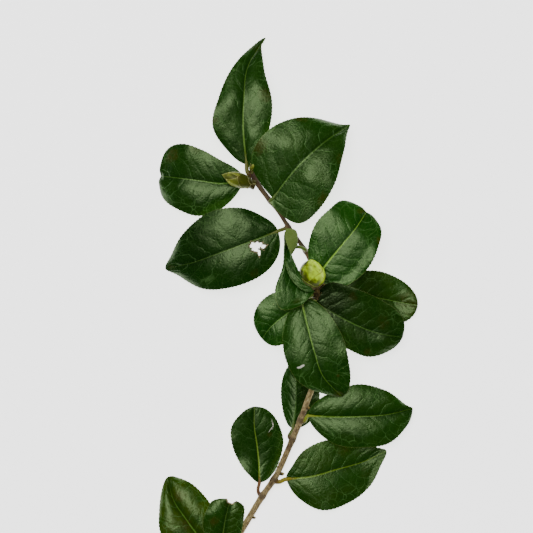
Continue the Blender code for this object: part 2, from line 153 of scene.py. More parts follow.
# A Geometry Nodes tree with one geometry in and out and its own named inputs, and the function that fills it
def newTree(name, inputs):
    tree = bpy.data.node_groups.new(name, "GeometryNodeTree")
    tree.interface.new_socket("Geometry", in_out="INPUT", socket_type="NodeSocketGeometry")
    keys = {}
    for label, kind in inputs.items():
        socket = tree.interface.new_socket(label, in_out="INPUT", socket_type="NodeSocket" + kind)
        keys[label] = socket.identifier
    tree.interface.new_socket("Geometry", in_out="OUTPUT", socket_type="NodeSocketGeometry")
    entry = tree.nodes.new("NodeGroupInput")
    return tree, partial(addNode, tree), entry.outputs, keys


def endTree(put, geometry, material):
    real = put("GeometryNodeRealizeInstances", {}, {"Geometry": geometry})
    done = put("GeometryNodeSetMaterial", {}, {"Geometry": real, "Material": material})
    put("NodeGroupOutput", {}, [done])


def useTree(piece, tree, keys, values):
    modifier = piece.modifiers.new(tree.name, "NODES")
    modifier.node_group = tree
    for label, value in values.items():
        modifier[keys[label]] = value


# Lifts whatever lies below a height up to it
def keepAbove(put, geometry, lowest):
    place = put(placeNode, {}, [])
    parts = put(splitNode, {}, [place]).node
    level = put(*maximum, [parts.outputs[2], lowest])
    held = put(combineNode, {}, [parts.outputs[0], parts.outputs[1], level])
    return put(moveNode, {}, {"Geometry": geometry, "Position": held})


# Moves a surface along its normal
def raiseAlong(put, geometry, height):
    normal = put("GeometryNodeInputNormal", {}, [])
    offset = put(vectorNode, {"operation": "SCALE"}, {"Vector": normal, "Scale": height})
    return put(moveNode, {}, {"Geometry": geometry, "Offset": offset})


# Sweeps a ring along the tree's line, as thick as its girth attribute
def sweepRing(put, given, ring):
    line = put("GeometryNodeMeshToCurve", {}, {"Mesh": given["Geometry"]})
    girth = put(fieldNode, {"data_type": "FLOAT"}, {"Name": "girth"})
    return put("GeometryNodeCurveToMesh", {}, {
        "Curve": line, "Profile Curve": ring, "Scale": girth, "Fill Caps": True})


# Stores how far each face looks towards a direction
def storeFacing(put, geometry, name, direction):
    outward = put("GeometryNodeInputNormal", {}, [])
    facing = put(vectorNode, {"operation": "DOT_PRODUCT"}, [outward, direction], out=1)
    return put(storeNode, pointFloat, {"Geometry": geometry, "Name": name, "Value": facing})


# Turns a piece with its modifiers into a plain mesh
def settle(piece):
    graph = bpy.context.evaluated_depsgraph_get()
    mesh = bpy.data.meshes.new_from_object(
        piece.evaluated_get(graph), preserve_all_data_layers=True, depsgraph=graph)
    piece.modifiers.clear()
    piece.data = mesh
    return mesh


attributeKinds = {1: ("FLOAT", "value"), 3: ("FLOAT_VECTOR", "vector"), 4: ("FLOAT_COLOR", "color")}


def newPiece(name, points, edges, faces, attributes, materials=()):
    mesh = bpy.data.meshes.new(name)
    mesh.from_pydata([Vector(p) for p in points], edges, faces)
    for label, values in attributes.items():
        values = np.asarray(values, np.float32)
        kind, field = attributeKinds[1 if values.ndim == 1 else values.shape[1]]
        mesh.attributes.new(label, kind, "POINT").data.foreach_set(field, values.ravel())
    for material in materials:
        mesh.materials.append(material)
    piece = bpy.data.objects.new(name, mesh)
    bpy.context.scene.collection.objects.link(piece)
    return piece


def joinInto(piece, others):
    with bpy.context.temp_override(active_object=piece, object=piece,
                                   selected_editable_objects=[piece, *others]):
        bpy.ops.object.join()


def finishPiece(piece, node, sharp):
    piece.data.shade_smooth()
    piece.data.set_sharp_from_angle(angle=radians(sharp))
    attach(piece, "root")
    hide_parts(node)


# The pattern of veins, the same for the leaf's relief and for its colour

veinSettings = {
    "pairs": 7.5,          # side veins on each half
    "sweep": 0.27,         # how far a side vein runs towards the tip on its way to the margin
    "sweepPower": 1.3,
    "wander": (0.09, 0.1),     # the slow bends of the side veins: cycles a mm, and how far
    "zigzag": (0.18, 0.03),
    "stagger": 0.45,       # how far the left half's veins are shifted against the right half's
    "spacing": 8.0,        # mm between side veins, measured square to them
    "loopBase": 0.62,      # where the loops that join the side veins begin, from midrib 0 to margin 1
    "loopRise": 0.14,
    "loopChance": 0.12,
    "halfWidth": 20.0,     # mm, a typical half blade
    "netSize": 2.4,        # mm, the fine net between the side veins
    "wideNetSize": 7.0,    # mm, the coarser net that carries it
}


def veinFields(put, along, across, lamina):
    s = veinSettings
    reach = put(*absolute, [across])
    start = chain(put, reach, (power, s["sweepPower"]), (multiplyAdd, -s["sweep"], along))
    for (scale, amount), detail in ((s["wander"], 2.0), (s["zigzag"], 1.0)):
        bends = put(noiseNode, {}, {"Vector": lamina, "Scale": scale, "Detail": detail})
        start = put(*multiplyAdd, [bends, amount, start])
    shift = chain(put, across, (greater, 0.0), (multiply, s["stagger"]))
    cell = put(*multiplyAdd, [start, s["pairs"], shift])
    within, number = [put(*part, [cell]) for part in (fraction, roundDown)]
    fromMiddle = chain(put, within, (subtract, 0.5), (absolute,))
    toVein = put(*subtract, [0.5, fromMiddle])
    sideMm = put(*multiply, [toVein, s["spacing"]])
    arch = chain(put, within, (multiply, pi), (sine,))
    chance = put("ShaderNodeTexWhiteNoise", {"noise_dimensions": "1D"}, {"W": number})
    rise = put(*multiplyAdd, [chance, s["loopChance"], s["loopRise"]])
    loopAt = put(*multiplyAdd, [arch, rise, s["loopBase"]])
    loopMm = chain(put, reach, (subtract, loopAt), (absolute,), (multiply, s["halfWidth"]))
    return {"side": sideMm, "loop": loopMm, "reach": reach, "arch": arch, "start": start}


# Leaves

leafSettings = {
    "rows": 110,            # steps from base to tip
    "columns": 52,          # steps from margin to margin, without the toothed strips
    "strip": 0.95,          # where the toothed strip begins
    "crowding": 0.4,        # how much closer together the steps are beside the midrib
    "fine": 4,              # margin points for each row
    "thickness": 0.42,      # mm
    "clear": 0.02,          # mm that a blade's underside keeps from the floor
    "toothSpacing": 2.7,    # mm
    "toothDepth": 0.4,      # mm
    "toothPeak": 0.72,      # where a tooth is highest, from its foot to the next one's
    "toothSlant": 0.35,     # how far the teeth lean towards the tip
    "toothWander": (0.35, 7.0),    # how unevenly they are spaced, and the mm over which that changes
    "toothed": (0.08, 0.2, 0.96, 1.0),    # where the teeth set in and end, from base 0 to tip 1
    "puff": (1.8, 1.8),     # mm that the left and the right half bulge up beside the midrib
    "wave": 0.7,            # mm that the margins wave up and down
    "waves": 2.5,
    "swellWidth": 9.0,      # mm, the half width from which a blade has its full bulge
    "marginCurl": 1.6,      # how late the lift of a margin sets in
    "notchWidth": 2.6,      # mm
    "notchStart": 0.93,     # from base 0 to tip 1
    "flareStart": 0.66,     # from midrib 0 to margin 1
    "bulge": 0.08,          # mm between side veins
    "groove": 0.10,         # mm, the side veins' grooves on the upper side
    "grooveWidth": 1.2,     # mm from a vein's middle to where its groove ends
    "relief": (0.04, 0.3, 0.6, 0.95),    # where bulge and groove set in and end, from midrib 0 to margin 1
    "unevenness": 1.1,      # mm, slow unevenness of the whole blade
    "unevenNoise": (0.07, 1.5),    # its cycles a mm and detail
    "petioleRadius": 0.9,   # mm, half the narrowest width of a blade's base
    "stalkRadius": 1.2,     # mm
    "ribWidth": (0.7, 0.16),    # mm, half the midrib's width at the base and at the tip
    "gap": 37.0,            # mm between two leaves' places in the patterns, so that no two look alike
}

# Each leaf: node is where it leaves the stem, base and tip are the blade's ends, and bow bends the midrib
# sideways at 25, 50 and 75 %. left and right are half widths along the blade, and high is the midrib's height
# at 0, 25, 50, 75 and 100 %. lift, puff, lobe and flare are in mm, for the left and the right half: lift
# raises the margin, puff the middle, flare only the last third, and lobe carries the base back. A dent, spot
# or deep patch is its place from base to tip, from midrib 0 to left margin 1 or right margin -1, its radius
# in mm and its strength. neck is how far the stalk's end runs straight, notch the depth in mm of the nick at
# the tip, tone makes the whole blade paler or darker, and olive is its share of yellow-green.
# A deep patch is painted shade: it darkens the blade's colour where shade falls on it.
leafTable = {
    "leaf_top": dict(
        node=(173.5, 254.2, 16.4), base=(172.6, 258.0), tip=(185.6, 347.3), bow=(5.5, 8.5, 9.0),
        left=(11.0, 21.5, 17.0, 9.5, 4.0), right=(7.5, 17.0, 20.0, 11.5, 0.8),
        high=(16.0, 19.0, 18.6, 13.2, 1.6), lift=(0.4, 0.2), puff=(1.0, 1.5), lobe=(0.0, 6.0),
        dents=[(0.6, -0.8, 9.0, 1.2), (0.48, 0.5, 12.0, 2.1)], deep=[(0.12, 0.6, 12.0, 0.2)],
        spots=[(0.55, -0.75, 9.0, 0.9), (0.3, 0.9, 5.0, 0.8), (0.92, 0.0, 9.0, 0.6)],
        tone=0.92, olive=0.1, stalk="#6b6c20", stalkRadius=1.45, rib="#6a9038"),
    "leaf_upper_right": dict(
        node=(189.0, 232.5, 18.5), base=(191.6, 235.0), tip=(244.9, 285.8), bow=(3.0, 4.0, 3.0),
        left=(25.0, 32.0, 31.0, 21.5, 4.0), right=(25.0, 31.0, 27.0, 15.0, 3.5),
        high=(19.8, 23.5, 25.0, 21.0, 11.0), lift=(-0.6, 0.7), lobe=(3.0, 15.0),
        dents=[(0.36, -0.38, 9.0, 1.3), (0.42, 0.5, 10.0, 0.8)],
        spots=[
            (0.25, 0.95, 11.0, 1.0), (0.35, -0.95, 9.0, 0.8), (0.7, -0.97, 8.0, 0.7), (0.7, 0.97, 7.0, 0.8)],
        olive=0.15, stalk="#5c7a2c", rib="#4c7228", ribWidth=(0.45, 0.6)),
    "leaf_upper_left": dict(
        node=(175.6, 250.0, 15.5), base=(170.1, 246.7), tip=(110.8, 250.4), bow=(3.0, 2.0, 1.0),
        left=(9.0, 18.0, 24.5, 21.5, 15.0), right=(8.0, 15.5, 21.5, 24.0, 17.5),
        high=(12.6, 12.6, 12.2, 9.4, 0.4), lift=(-3.0, 2.6), puff=(1.8, 1.2), notch=1.6,
        dents=[(0.66, -0.7, 8.0, 0.9)], spots=[(0.85, -0.7, 8.0, 0.9), (0.6, -0.95, 7.0, 0.8)],
        tone=0.88, olive=0.1, stalk="#6f7f35", rib="#5f8a34"),
    "leaf_mid_left": dict(
        node=(201.6, 214.2, 17.0), base=(194.6, 211.4), tip=(115.6, 184.9), bow=(1.0, 1.5, 2.0),
        left=(16.0, 24.5, 25.5, 19.5, 5.0), right=(12.0, 25.0, 29.0, 22.0, 7.0),
        high=(16.5, 19.5, 18.8, 12.4, 0.5), lift=(-3.0, -1.0), puff=(1.5, 1.5),
        deep=[(0.7, -0.5, 22.0, 0.3)], spots=[(0.3, 0.85, 6.0, 0.8), (0.95, 0.0, 5.0, 0.6)],
        tone=0.68, stalk="#6a7226", stalkRadius=1.35, rib="#55792f"),
    "leaf_mid_right": dict(
        node=(222.0, 174.5, 19.0), base=(221.5, 179.0), tip=(256.9, 225.4), bow=(0.0, -0.5, -1.0),
        left=(9.0, 18.0, 23.5, 22.5, 17.5), right=(15.5, 22.5, 24.0, 20.0, 14.5),
        high=(20.2, 21.6, 22.6, 21.4, 14.0), lift=(0.0, -2.2), puff=(0.8, 1.1), lobe=(0.0, 2.5),
        flare=(0.0, 2.4), notch=0.9, spots=[(0.95, 0.25, 4.0, 0.9), (0.8, -0.99, 5.0, 0.9)],
        tone=1.3, stalk="#7f9a3e", rib="#86b23c"),
    "leaf_back_right": dict(
        node=(222.8, 171.0, 17.0), base=(229.0, 169.0), tip=(292.7, 159.2), bow=(0.5, 1.0, 0.5),
        left=(9.0, 15.5, 18.5, 16.0, 9.0), right=(9.0, 16.0, 19.0, 17.0, 10.5),
        high=(15.0, 13.4, 8.4, 4.4, 4.4), lift=(0.0, 0.0), puff=(1.0, 1.0), deep=[(0.4, 0.3, 24.0, 0.5)],
        spots=[(0.9, 0.1, 17.0, 0.75)], tone=1.05, olive=0.4, stalk="#6f7f35", rib="#5c8432"),
    "leaf_lower_right": dict(
        node=(222.9, 165.5, 19.0), base=(221.0, 161.2), tip=(281.8, 136.8), bow=(-2.5, -4.0, -3.5),
        left=(16.3, 21.5, 23.5, 21.0, 13.0), right=(9.0, 16.5, 17.5, 17.5, 10.0),
        high=(21.0, 20.4, 18.4, 14.8, 10.0), lift=(3.4, -3.0), puff=(1.0, 0.6), lobe=(5.0, 0.0),
        flare=(1.2, 0.0), dents=[(0.86, -0.3, 10.0, 2.2)], deep=[(0.12, 0.5, 26.0, 0.7)],
        spots=[(0.35, 0.75, 6.0, 0.9), (0.75, 0.4, 9.0, 0.7), (0.7, -0.8, 5.0, 0.8)],
        tone=0.8, olive=0.2, stalk="#7d8f3c", rib="#567f30"),
    "leaf_small_left": dict(
        node=(223.0, 164.0, 16.5), base=(213.5, 162.4), tip=(183.4, 136.1), bow=(-1.0, -2.0, -2.0),
        left=(8.0, 14.0, 16.5, 15.0, 9.5), right=(10.0, 16.5, 18.0, 16.0, 10.5),
        high=(14.4, 14.2, 14.2, 13.4, 10.4), lift=(-0.4, 0.3), puff=(1.0, 1.0),
        tone=1.25, stalk="#6f7f35", rib="#5f8a38"),
    "leaf_front": dict(
        node=(222.4, 168.5, 19.0), base=(211.0, 162.4), tip=(239.0, 95.9), bow=(-3.0, -5.5, -6.5),
        left=(9.5, 17.5, 22.0, 19.8, 10.0), right=(10.5, 18.5, 20.5, 15.5, 6.5),
        high=(24.5, 27.8, 28.4, 25.6, 18.6), lift=(-0.4, -2.0), puff=(1.0, 1.4), lobe=(3.0, 2.0),
        flare=(0.6, 0.0), neck=0.1,
        spots=[(0.97, -0.2, 7.0, 0.8), (0.5, 0.97, 4.0, 0.5), (0.8, 0.5, 2.0, 1.0)],
        olive=0.1, stalk="#86a343", stalkRadius=1.6, rib="#6a9434"),
    "leaf_behind_stem": dict(
        node=(203.4, 66.0, 8.0), base=(205.0, 73.0), tip=(207.6, 121.1), bow=(-1.0, -1.0, -0.5),
        left=(4.5, 8.5, 10.5, 9.0, 4.5), right=(9.5, 14.5, 16.5, 14.5, 7.0),
        high=(5.6, 5.6, 6.0, 5.8, 4.6), lift=(-4.0, -3.6), puff=(0.2, -1.0), deep=[(0.5, -0.6, 14.0, 0.6)],
        tone=0.8, stalk="#5d6b2c", rib="#45692f"),
    "leaf_right": dict(
        node=(212.6, 78.0, 11.0), base=(216.0, 82.0), tip=(289.0, 87.0), bow=(-2.0, -3.0, -3.0),
        left=(9.0, 17.5, 22.5, 17.0, 3.8), right=(10.0, 19.5, 21.5, 20.0, 11.0),
        high=(12.6, 14.5, 14.5, 12.0, 7.0), lift=(0.0, -1.5), spots=[(0.6, -0.9, 6.0, 0.4)],
        olive=0.15, stalk="#9cab2f", rib="#62882a"),
    "leaf_right_low": dict(
        node=(194.2, 35.4, 5.8), base=(200.5, 37.3), tip=(271.0, 56.8), bow=(-3.0, -3.0, -3.0),
        left=(7.5, 19.5, 21.5, 14.0, 4.5), right=(14.5, 24.5, 25.0, 18.0, 6.0),
        high=(7.0, 8.0, 5.2, 0.8, -0.4), lift=(1.0, -2.0), puff=(0.6, 0.6),
        spots=[(0.6, 0.6, 10.0, 0.6), (0.75, -0.4, 9.0, 0.5)],
        olive=0.3, stalk="#a0901c", stalkRadius=1.5, rib="#6d8c2a"),
    "leaf_left_low": dict(
        node=(180.8, 27.0, 3.6), base=(181.6, 34.6), tip=(178.1, 88.2), bow=(-0.5, 0.0, 1.0),
        left=(5.0, 12.5, 17.0, 16.0, 8.5), right=(8.0, 14.0, 18.5, 17.0, 10.0),
        high=(1.8, 2.0, 3.8, 6.4, 7.6), lift=(2.6, -3.2), puff=(0.9, 0.9), neck=0.15,
        dents=[(0.16, 0.6, 9.0, 1.5)], spots=[(0.62, -0.55, 4.0, 0.9)],
        tone=0.85, olive=0.1, stalk="#7a4a1c", rib="#8cae3c"),
    "leaf_bottom_left": dict(
        node=(153.5, -21.5, 2.9), base=(149.8, -16.1), tip=(116.8, 38.2), bow=(2.4, 3.8, 4.4),
        left=(11.0, 18.5, 20.3, 11.6, 5.0), right=(10.0, 17.5, 20.0, 18.0, 7.8),
        high=(2.6, 4.6, 5.6, 4.2, 0.4), lift=(0.0, -1.6), puff=(2.6, 2.4),
        spots=[(0.75, -0.35, 8.0, 1.0), (0.45, 0.1, 8.0, 0.9), (0.6, 0.5, 7.0, 0.7)],
        tone=1.05, olive=0.9, stalk="#7a5a22", rib="#5f8a35"),
    "leaf_bottom_bitten": dict(
        node=(155.0, -19.5, 5.0), base=(154.7, -14.5), tip=(161.4, 23.5), bow=(0.7, 1.2, 1.0),
        left=(7.0, 12.5, 15.0, 13.8, 11.0), right=(6.0, 11.0, 12.5, 12.2, 9.5),
        high=(5.2, 7.6, 10.2, 12.2, 12.6), lift=(1.2, -1.6), puff=(1.9, 1.9),
        spots=[(0.55, 0.5, 7.0, 0.8), (0.92, 0.1, 5.0, 0.7)], olive=0.3, stalk="#7a5a22", rib="#5a7a33"),
}

# The folded leaf's rails from base to tip: left margin, midrib, bulge of its right half, right margin
foldedTable = {
    "node": (213.8, 197.8, 18.5),
    "rails": [
        [(207.9, 200.2, 24.0), (207.9, 200.2, 24.0), (207.9, 200.2, 24.0), (207.9, 200.2, 24.0)],
        [(199.8, 210.8, 35.0), (201.0, 199.0, 28.5), (207.6, 209.8, 33.8), (200.9, 212.6, 38.2)],
        [(198.8, 201.0, 34.6), (199.8, 194.5, 32.6), (208.0, 202.4, 35.4), (199.7, 206.4, 39.2)],
        [(197.8, 186.5, 34.4), (200.0, 187.0, 35.4), (202.6, 191.6, 36.0), (202.6, 198.0, 38.8)],
        [(192.5, 169.6, 35.4), (203.4, 178.6, 36.4), (206.2, 181.4, 36.6), (208.6, 183.9, 37.9)],
        [(197.0, 156.8, 35.0), (208.8, 172.4, 36.6), (211.4, 174.2, 36.7), (213.6, 176.2, 37.4)],
        [(210.6, 159.8, 33.4), (214.4, 169.2, 36.2), (216.0, 170.6, 36.3), (217.4, 171.9, 36.7)],
        [(219.7, 169.1, 35.5), (219.7, 169.1, 35.5), (219.7, 169.1, 35.5), (219.7, 169.1, 35.5)],
    ],
    "fall": 5.0,          # mm that the left half drops below the crease
    "tuck": (1.5, 1.0),   # mm that it starts under the right half
    "length": 56.0,
    "ripple": 0.14,       # mm, the lengthwise ripples beside its left margin
    "ripples": 24.0,      # radians of them from midrib to margin
    "halfWidth": 14.0,
    "tone": 1.15,
    # a patch of painted shade
    "deep": [(0.55, -0.3, 9.0, 0.3)],
    "stalk": "#6f8a34",
    "rib": "#3f6422",
    "ribWidth": (0.2, 0.2),
    "spots": [(0.8, 0.6, 6.0, 0.5)],
}

# Eaten holes, and pale scars that go no deeper than the colour (scab): centre on the sheet, half sizes in mm,
# turn in radians, raggedness, and how many half sizes out the dead rim reaches
holeTable = {
    "leaf_mid_left": [
        dict(centre=(178.9, 200.7), size=(3.6, 3.1), turn=0.4, ragged=0.3),
        dict(centre=(181.3, 196.4), size=(2.6, 0.75), turn=1.75, ragged=0.2),
        dict(centre=(184.3, 200.6), size=(1.5, 1.2), turn=0.3, ragged=0.4, dead=2.4)],
    "leaf_front": [
        dict(centre=(209.4, 116.2), size=(1.5, 0.8), turn=0.1, ragged=0.3, scab=True),
        dict(centre=(211.6, 117.4), size=(1.7, 0.7), turn=0.4, ragged=0.3, scab=True)],
    "leaf_bottom_bitten": [dict(centre=(162.4, 23.6), size=(3.4, 2.6), turn=0.2, ragged=0.12)],
    "leaf_left_low": [
        dict(centre=(189.4, 72.3), size=(2.9, 0.26), turn=0.97, ragged=0.0, scab=True),
        dict(centre=(190.5, 77.2), size=(2.6, 0.22), turn=1.8, ragged=0.0, scab=True)],
}

holeSettings = {
    "rim": 1.6,        # half sizes from its centre within which a hole's edge points are drawn onto its rim
    "dead": 1.55,      # how many half sizes out the dead rim reaches
    "noScab": 9.0,     # half sizes, far from any scab
}


# Points of a blade, at turn from 0 at the base to pi at the tip and v from the right margin -1 to the left 1
def bladePoints(leaf, turn, v):
    s = leafSettings
    u = (1 - np.cos(turn)) / 2
    base, tip = np.array(leaf["base"]), np.array(leaf["tip"])
    lead = tip - base
    length = np.linalg.norm(lead)
    across = np.array([-lead[1], lead[0]]) / length
    bow = through((0, *leaf["bow"], 0), u)
    middle = base + u[:, None] * lead + bow[:, None] * across
    widths = [through((0, *leaf[side], 0), turn / pi) for side in ("left", "right")]
    width = np.maximum(np.where(v > 0, *widths), s["petioleRadius"] * (1 - 0.5 * u))
    notch = leaf.get("notch", 0.0) * np.exp(-(v * width / s["notchWidth"]) ** 2)
    notch = notch * smooth(s["notchStart"], 1.0, u)
    back = np.where(v > 0, *leaf.get("lobe", (0.0, 0.0))) * (1 - u) ** 4 * v * v * np.sin(turn / 2 + 0.3)
    plan = middle + across * (v * width)[:, None] - unit(lead) * (back + notch)[:, None]

    swell = np.sin(turn) ** 0.6 * smooth(0.0, s["swellWidth"], width)
    lift = np.where(v > 0, *leaf["lift"]) * np.abs(v) ** s["marginCurl"]
    puff = np.where(v > 0, *leaf.get("puff", s["puff"])) * 4 * np.abs(v) * (1 - np.abs(v))
    flare = np.where(v > 0, *leaf.get("flare", (0.0, 0.0))) * smooth(s["flareStart"], 1.0, np.abs(v))
    wave = s["wave"] * np.sin(2 * pi * s["waves"] * u + base[0]) * swell
    z = through(leaf["high"], u) + swell * (lift + puff + flare) + wave * v**3
    for du, dv, radius, height in leaf.get("dents", []):
        away = np.hypot((u - du) * length, (v - dv) * width)
        z = z + height * np.exp(-(away / radius) ** 2)
    return np.column_stack([plan, z]), u * length, width


def foldedPoints(leaf, turn, v):
    u = (1 - np.cos(turn)) / 2
    left, middle, bulge, right = through(leaf["rails"], u).transpose(1, 0, 2)
    q = np.abs(v)[:, None]
    late = smooth(0.3, 0.45, u)[:, None] * np.sin(turn)[:, None]
    under = late * np.array([*leaf["tuck"], -leaf["fall"]])
    valley = middle + under
    leftHalf = valley + q * (left - valley) - (1 - smooth(0.0, 0.1, q)) * under
    arch = (1 - (1 - q) ** 3 - q) * (left - valley)
    ripple = leaf["ripple"] * np.sin(leaf["ripples"] * q) * smooth(0.45, 0.85, q) * np.sin(turn)[:, None]
    leftHalf = leftHalf + (ripple + arch) * np.array([0.0, 0.0, 1.0])
    pull = 2 * bulge - (middle + right) / 2
    rightHalf = (1 - q) ** 2 * middle + 2 * q * (1 - q) * pull + q * q * right
    points = np.where((v > 0)[:, None], leftHalf, rightHalf)
    return points, u * leaf["length"], leaf["halfWidth"] * np.sin(turn) ** 0.7 + 0.5


# One thin sheet for each leaf, with a finer toothed strip along both margins
def leafSheet(name, leaf, shape, index):
    s = leafSettings
    evenly = np.linspace(-1, 1, s["columns"] + 1)
    v = s["strip"] * ((1 - s["crowding"]) * evenly + s["crowding"] * evenly**3)
    turn, v = [a.ravel() for a in np.meshgrid(np.linspace(0, pi, s["rows"] + 1), v, indexing="ij")]
    points, lengthwise, width = shape(leaf, turn, v)
    sheets = [(points, (1 - np.cos(turn)) / 2, v, lengthwise, width)]
    wide = s["columns"] + 1
    faces = []
    for i in range(s["rows"]):
        for a in range(i * wide, (i + 1) * wide - 1):
            faces.append((a, a + wide, a + wide + 1, a + 1))

    count = len(points)
    turn = np.linspace(0, pi, s["rows"] * s["fine"] + 1)
    u = (1 - np.cos(turn)) / 2
    for side in (1, -1):
        v = np.full(len(turn), float(side))
        margin, lengthwise, width = shape(leaf, turn, v)
        out = unit(margin - shape(leaf, turn, 0.9 * v)[0])
        forward = unit(np.gradient(margin, axis=0))
        arc = np.concatenate([[0], np.cumsum(np.linalg.norm(np.diff(margin, axis=0), axis=1))])
        uneven, span = s["toothWander"]
        phase = (arc / s["toothSpacing"] + uneven * np.sin(arc / span + index)) % 1.0
        peak = s["toothPeak"]
        tooth = np.where(phase < peak, (phase / peak) ** 1.3, (1 - phase) / (1 - peak))
        start, full, last, end = s["toothed"]
        depth = s["toothDepth"] * smooth(start, full, u) * smooth(end, last, u)
        margin = margin + (out + s["toothSlant"] * forward) * (tooth * depth)[:, None]
        sheets.append((margin, u, v, lengthwise, width))
        column = s["columns"] if side > 0 else 0
        half = s["fine"] // 2
        for i in range(s["rows"]):
            here, ahead = i * wide + column, (i + 1) * wide + column
            first = count + i * s["fine"]
            strip = [(here, first + m + 1, first + m) for m in range(half)]
            strip.append((here, ahead, first + half))
            strip += [(ahead, first + m + 1, first + m) for m in range(half, s["fine"])]
            faces += strip if side > 0 else [tuple(reversed(t)) for t in strip]
        count += len(turn)

    points, u, v, lengthwise, width = [np.concatenate(parts) for parts in zip(*sheets)]
    faces, points, scar, scab = cutHoles(name, faces, points)
    brown = np.zeros(len(points))
    for patch in patchesOn(leaf.get("spots", []), u, v, lengthwise, width):
        brown = np.maximum(brown, patch)
    tone = np.full(len(points), leaf.get("tone", 1.0))
    # deep patches are painted shade, darkening the blade's colour
    for patch in patchesOn(leaf.get("deep", []), u, v, lengthwise, width):
        tone = tone * (1 - patch)
    ribStart, ribEnd = leaf.get("ribWidth", s["ribWidth"])
    return points, faces, {
        "along": u, "across": v, "tone": tone, "olive": np.full(len(points), leaf.get("olive", 0.0)),
        "edge": (1 - np.abs(v)) * width, "brown": brown, "scar": scar, "scab": scab,
        "lamina": np.column_stack([lengthwise, v * width, np.full(len(points), s["gap"] * index)]),
        "ribHalf": ribStart + (ribEnd - ribStart) * u}


# How strong each round patch of a leaf is at its points
def patchesOn(patches, u, v, lengthwise, width):
    for along, across, radius, strength in patches:
        away = np.hypot((u - along) * lengthwise.max(), (v - across) * width)
        yield strength * smooth(radius, 0.2 * radius, away)


# Cuts a leaf's holes, draws the points beside them onto their rims and marks the dead tissue round them
def cutHoles(name, faces, points):
    s = holeSettings
    scar = np.zeros(len(points))
    scab = np.full((len(points), 3), s["noScab"])
    for hole in holeTable.get(name, []):
        centre, size = np.array(hole["centre"]), np.array(hole["size"])
        c, t = np.cos(hole["turn"]), np.sin(hole["turn"])
        away = (points[:, :2] - centre) @ np.array([[c, -t], [t, c]])
        angle = np.arctan2(away[:, 1] / size[1], away[:, 0] / size[0])
        reach = 1 + hole["ragged"] * (np.sin(5 * angle + 1) * np.cos(2 * angle) + 0.4 * np.sin(11 * angle))
        ratio = np.hypot(away[:, 0] / size[0], away[:, 1] / size[1]) / reach
        if hole.get("scab"):
            nearer = ratio < np.hypot(scab[:, 0], scab[:, 1])
            scab[nearer] = np.column_stack([away / size, np.zeros(len(away))])[nearer]
            continue
        faces = [face for face in faces if ratio[list(face)].mean() > 1]
        uses = {}
        for face in faces:
            for a, b in zip(face, face[1:] + face[:1]):
                key = (min(a, b), max(a, b))
                uses[key] = uses.get(key, 0) + 1
        rim = sorted({p for pair, n in uses.items() if n == 1 for p in pair if ratio[p] < s["rim"]})
        moved = away[rim] / ratio[rim][:, None]
        points = points.copy()
        points[rim, :2] = centre + moved @ np.array([[c, t], [-t, c]])
        scar = np.maximum(scar, smooth(hole.get("dead", s["dead"]), 1.0, ratio))
    return faces, points, scar, scab


# The relief of a blade: bulges between the side veins, sunken veins and a slow unevenness
def reliefTree():
    s = leafSettings
    tree, put, given, keys = newTree("leafRelief", {
        "Bulge": "Float", "Groove": "Float", "Unevenness": "Float", "Lowest": "Float",
        "Material": "Material"})
    along, across = [
        put(fieldNode, {"data_type": "FLOAT"}, {"Name": name}) for name in ("along", "across")]
    lamina = put(fieldNode, {"data_type": "FLOAT_VECTOR"}, {"Name": "lamina"})
    veins = veinFields(put, along, across, lamina)
    start, full, last, end = s["relief"]
    fadeIn = put(*eased, [veins["reach"], start, full, 0.0, 1.0])
    fadeOut = put(*eased, [veins["reach"], last, end, 1.0, 0.0])
    bulge = chain(
        put, veins["arch"], (power, 0.7), (multiply, given["Bulge"]),
        (multiply, fadeIn), (multiply, fadeOut))
    sunk = chain(
        put, veins["side"], (eased, 0.0, s["grooveWidth"], 1.0, 0.0), (multiply, given["Groove"]),
        (multiply, fadeOut))
    slow = put(noiseNode, {}, {"Vector": lamina, **dict(zip(noiseKeys, s["unevenNoise"]))})
    slow = chain(
        put, slow, (subtract, 0.5), (multiply, given["Unevenness"]),
        (multiply, fadeIn))
    height = chain(put, bulge, (subtract, sunk), (add, slow))
    raised = raiseAlong(put, given["Geometry"], height)
    endTree(put, keepAbove(put, raised, given["Lowest"]), given["Material"])
    return tree, keys


# A rod along a polyline
def rodTree(name, sides):
    tree, put, given, keys = newTree(name, {"Material": "Material"})
    ring = put("GeometryNodeCurvePrimitiveCircle", {}, {"Resolution": sides, "Radius": 1.0})
    endTree(put, sweepRing(put, given, ring), given["Material"])
    return tree, keys


# The stem

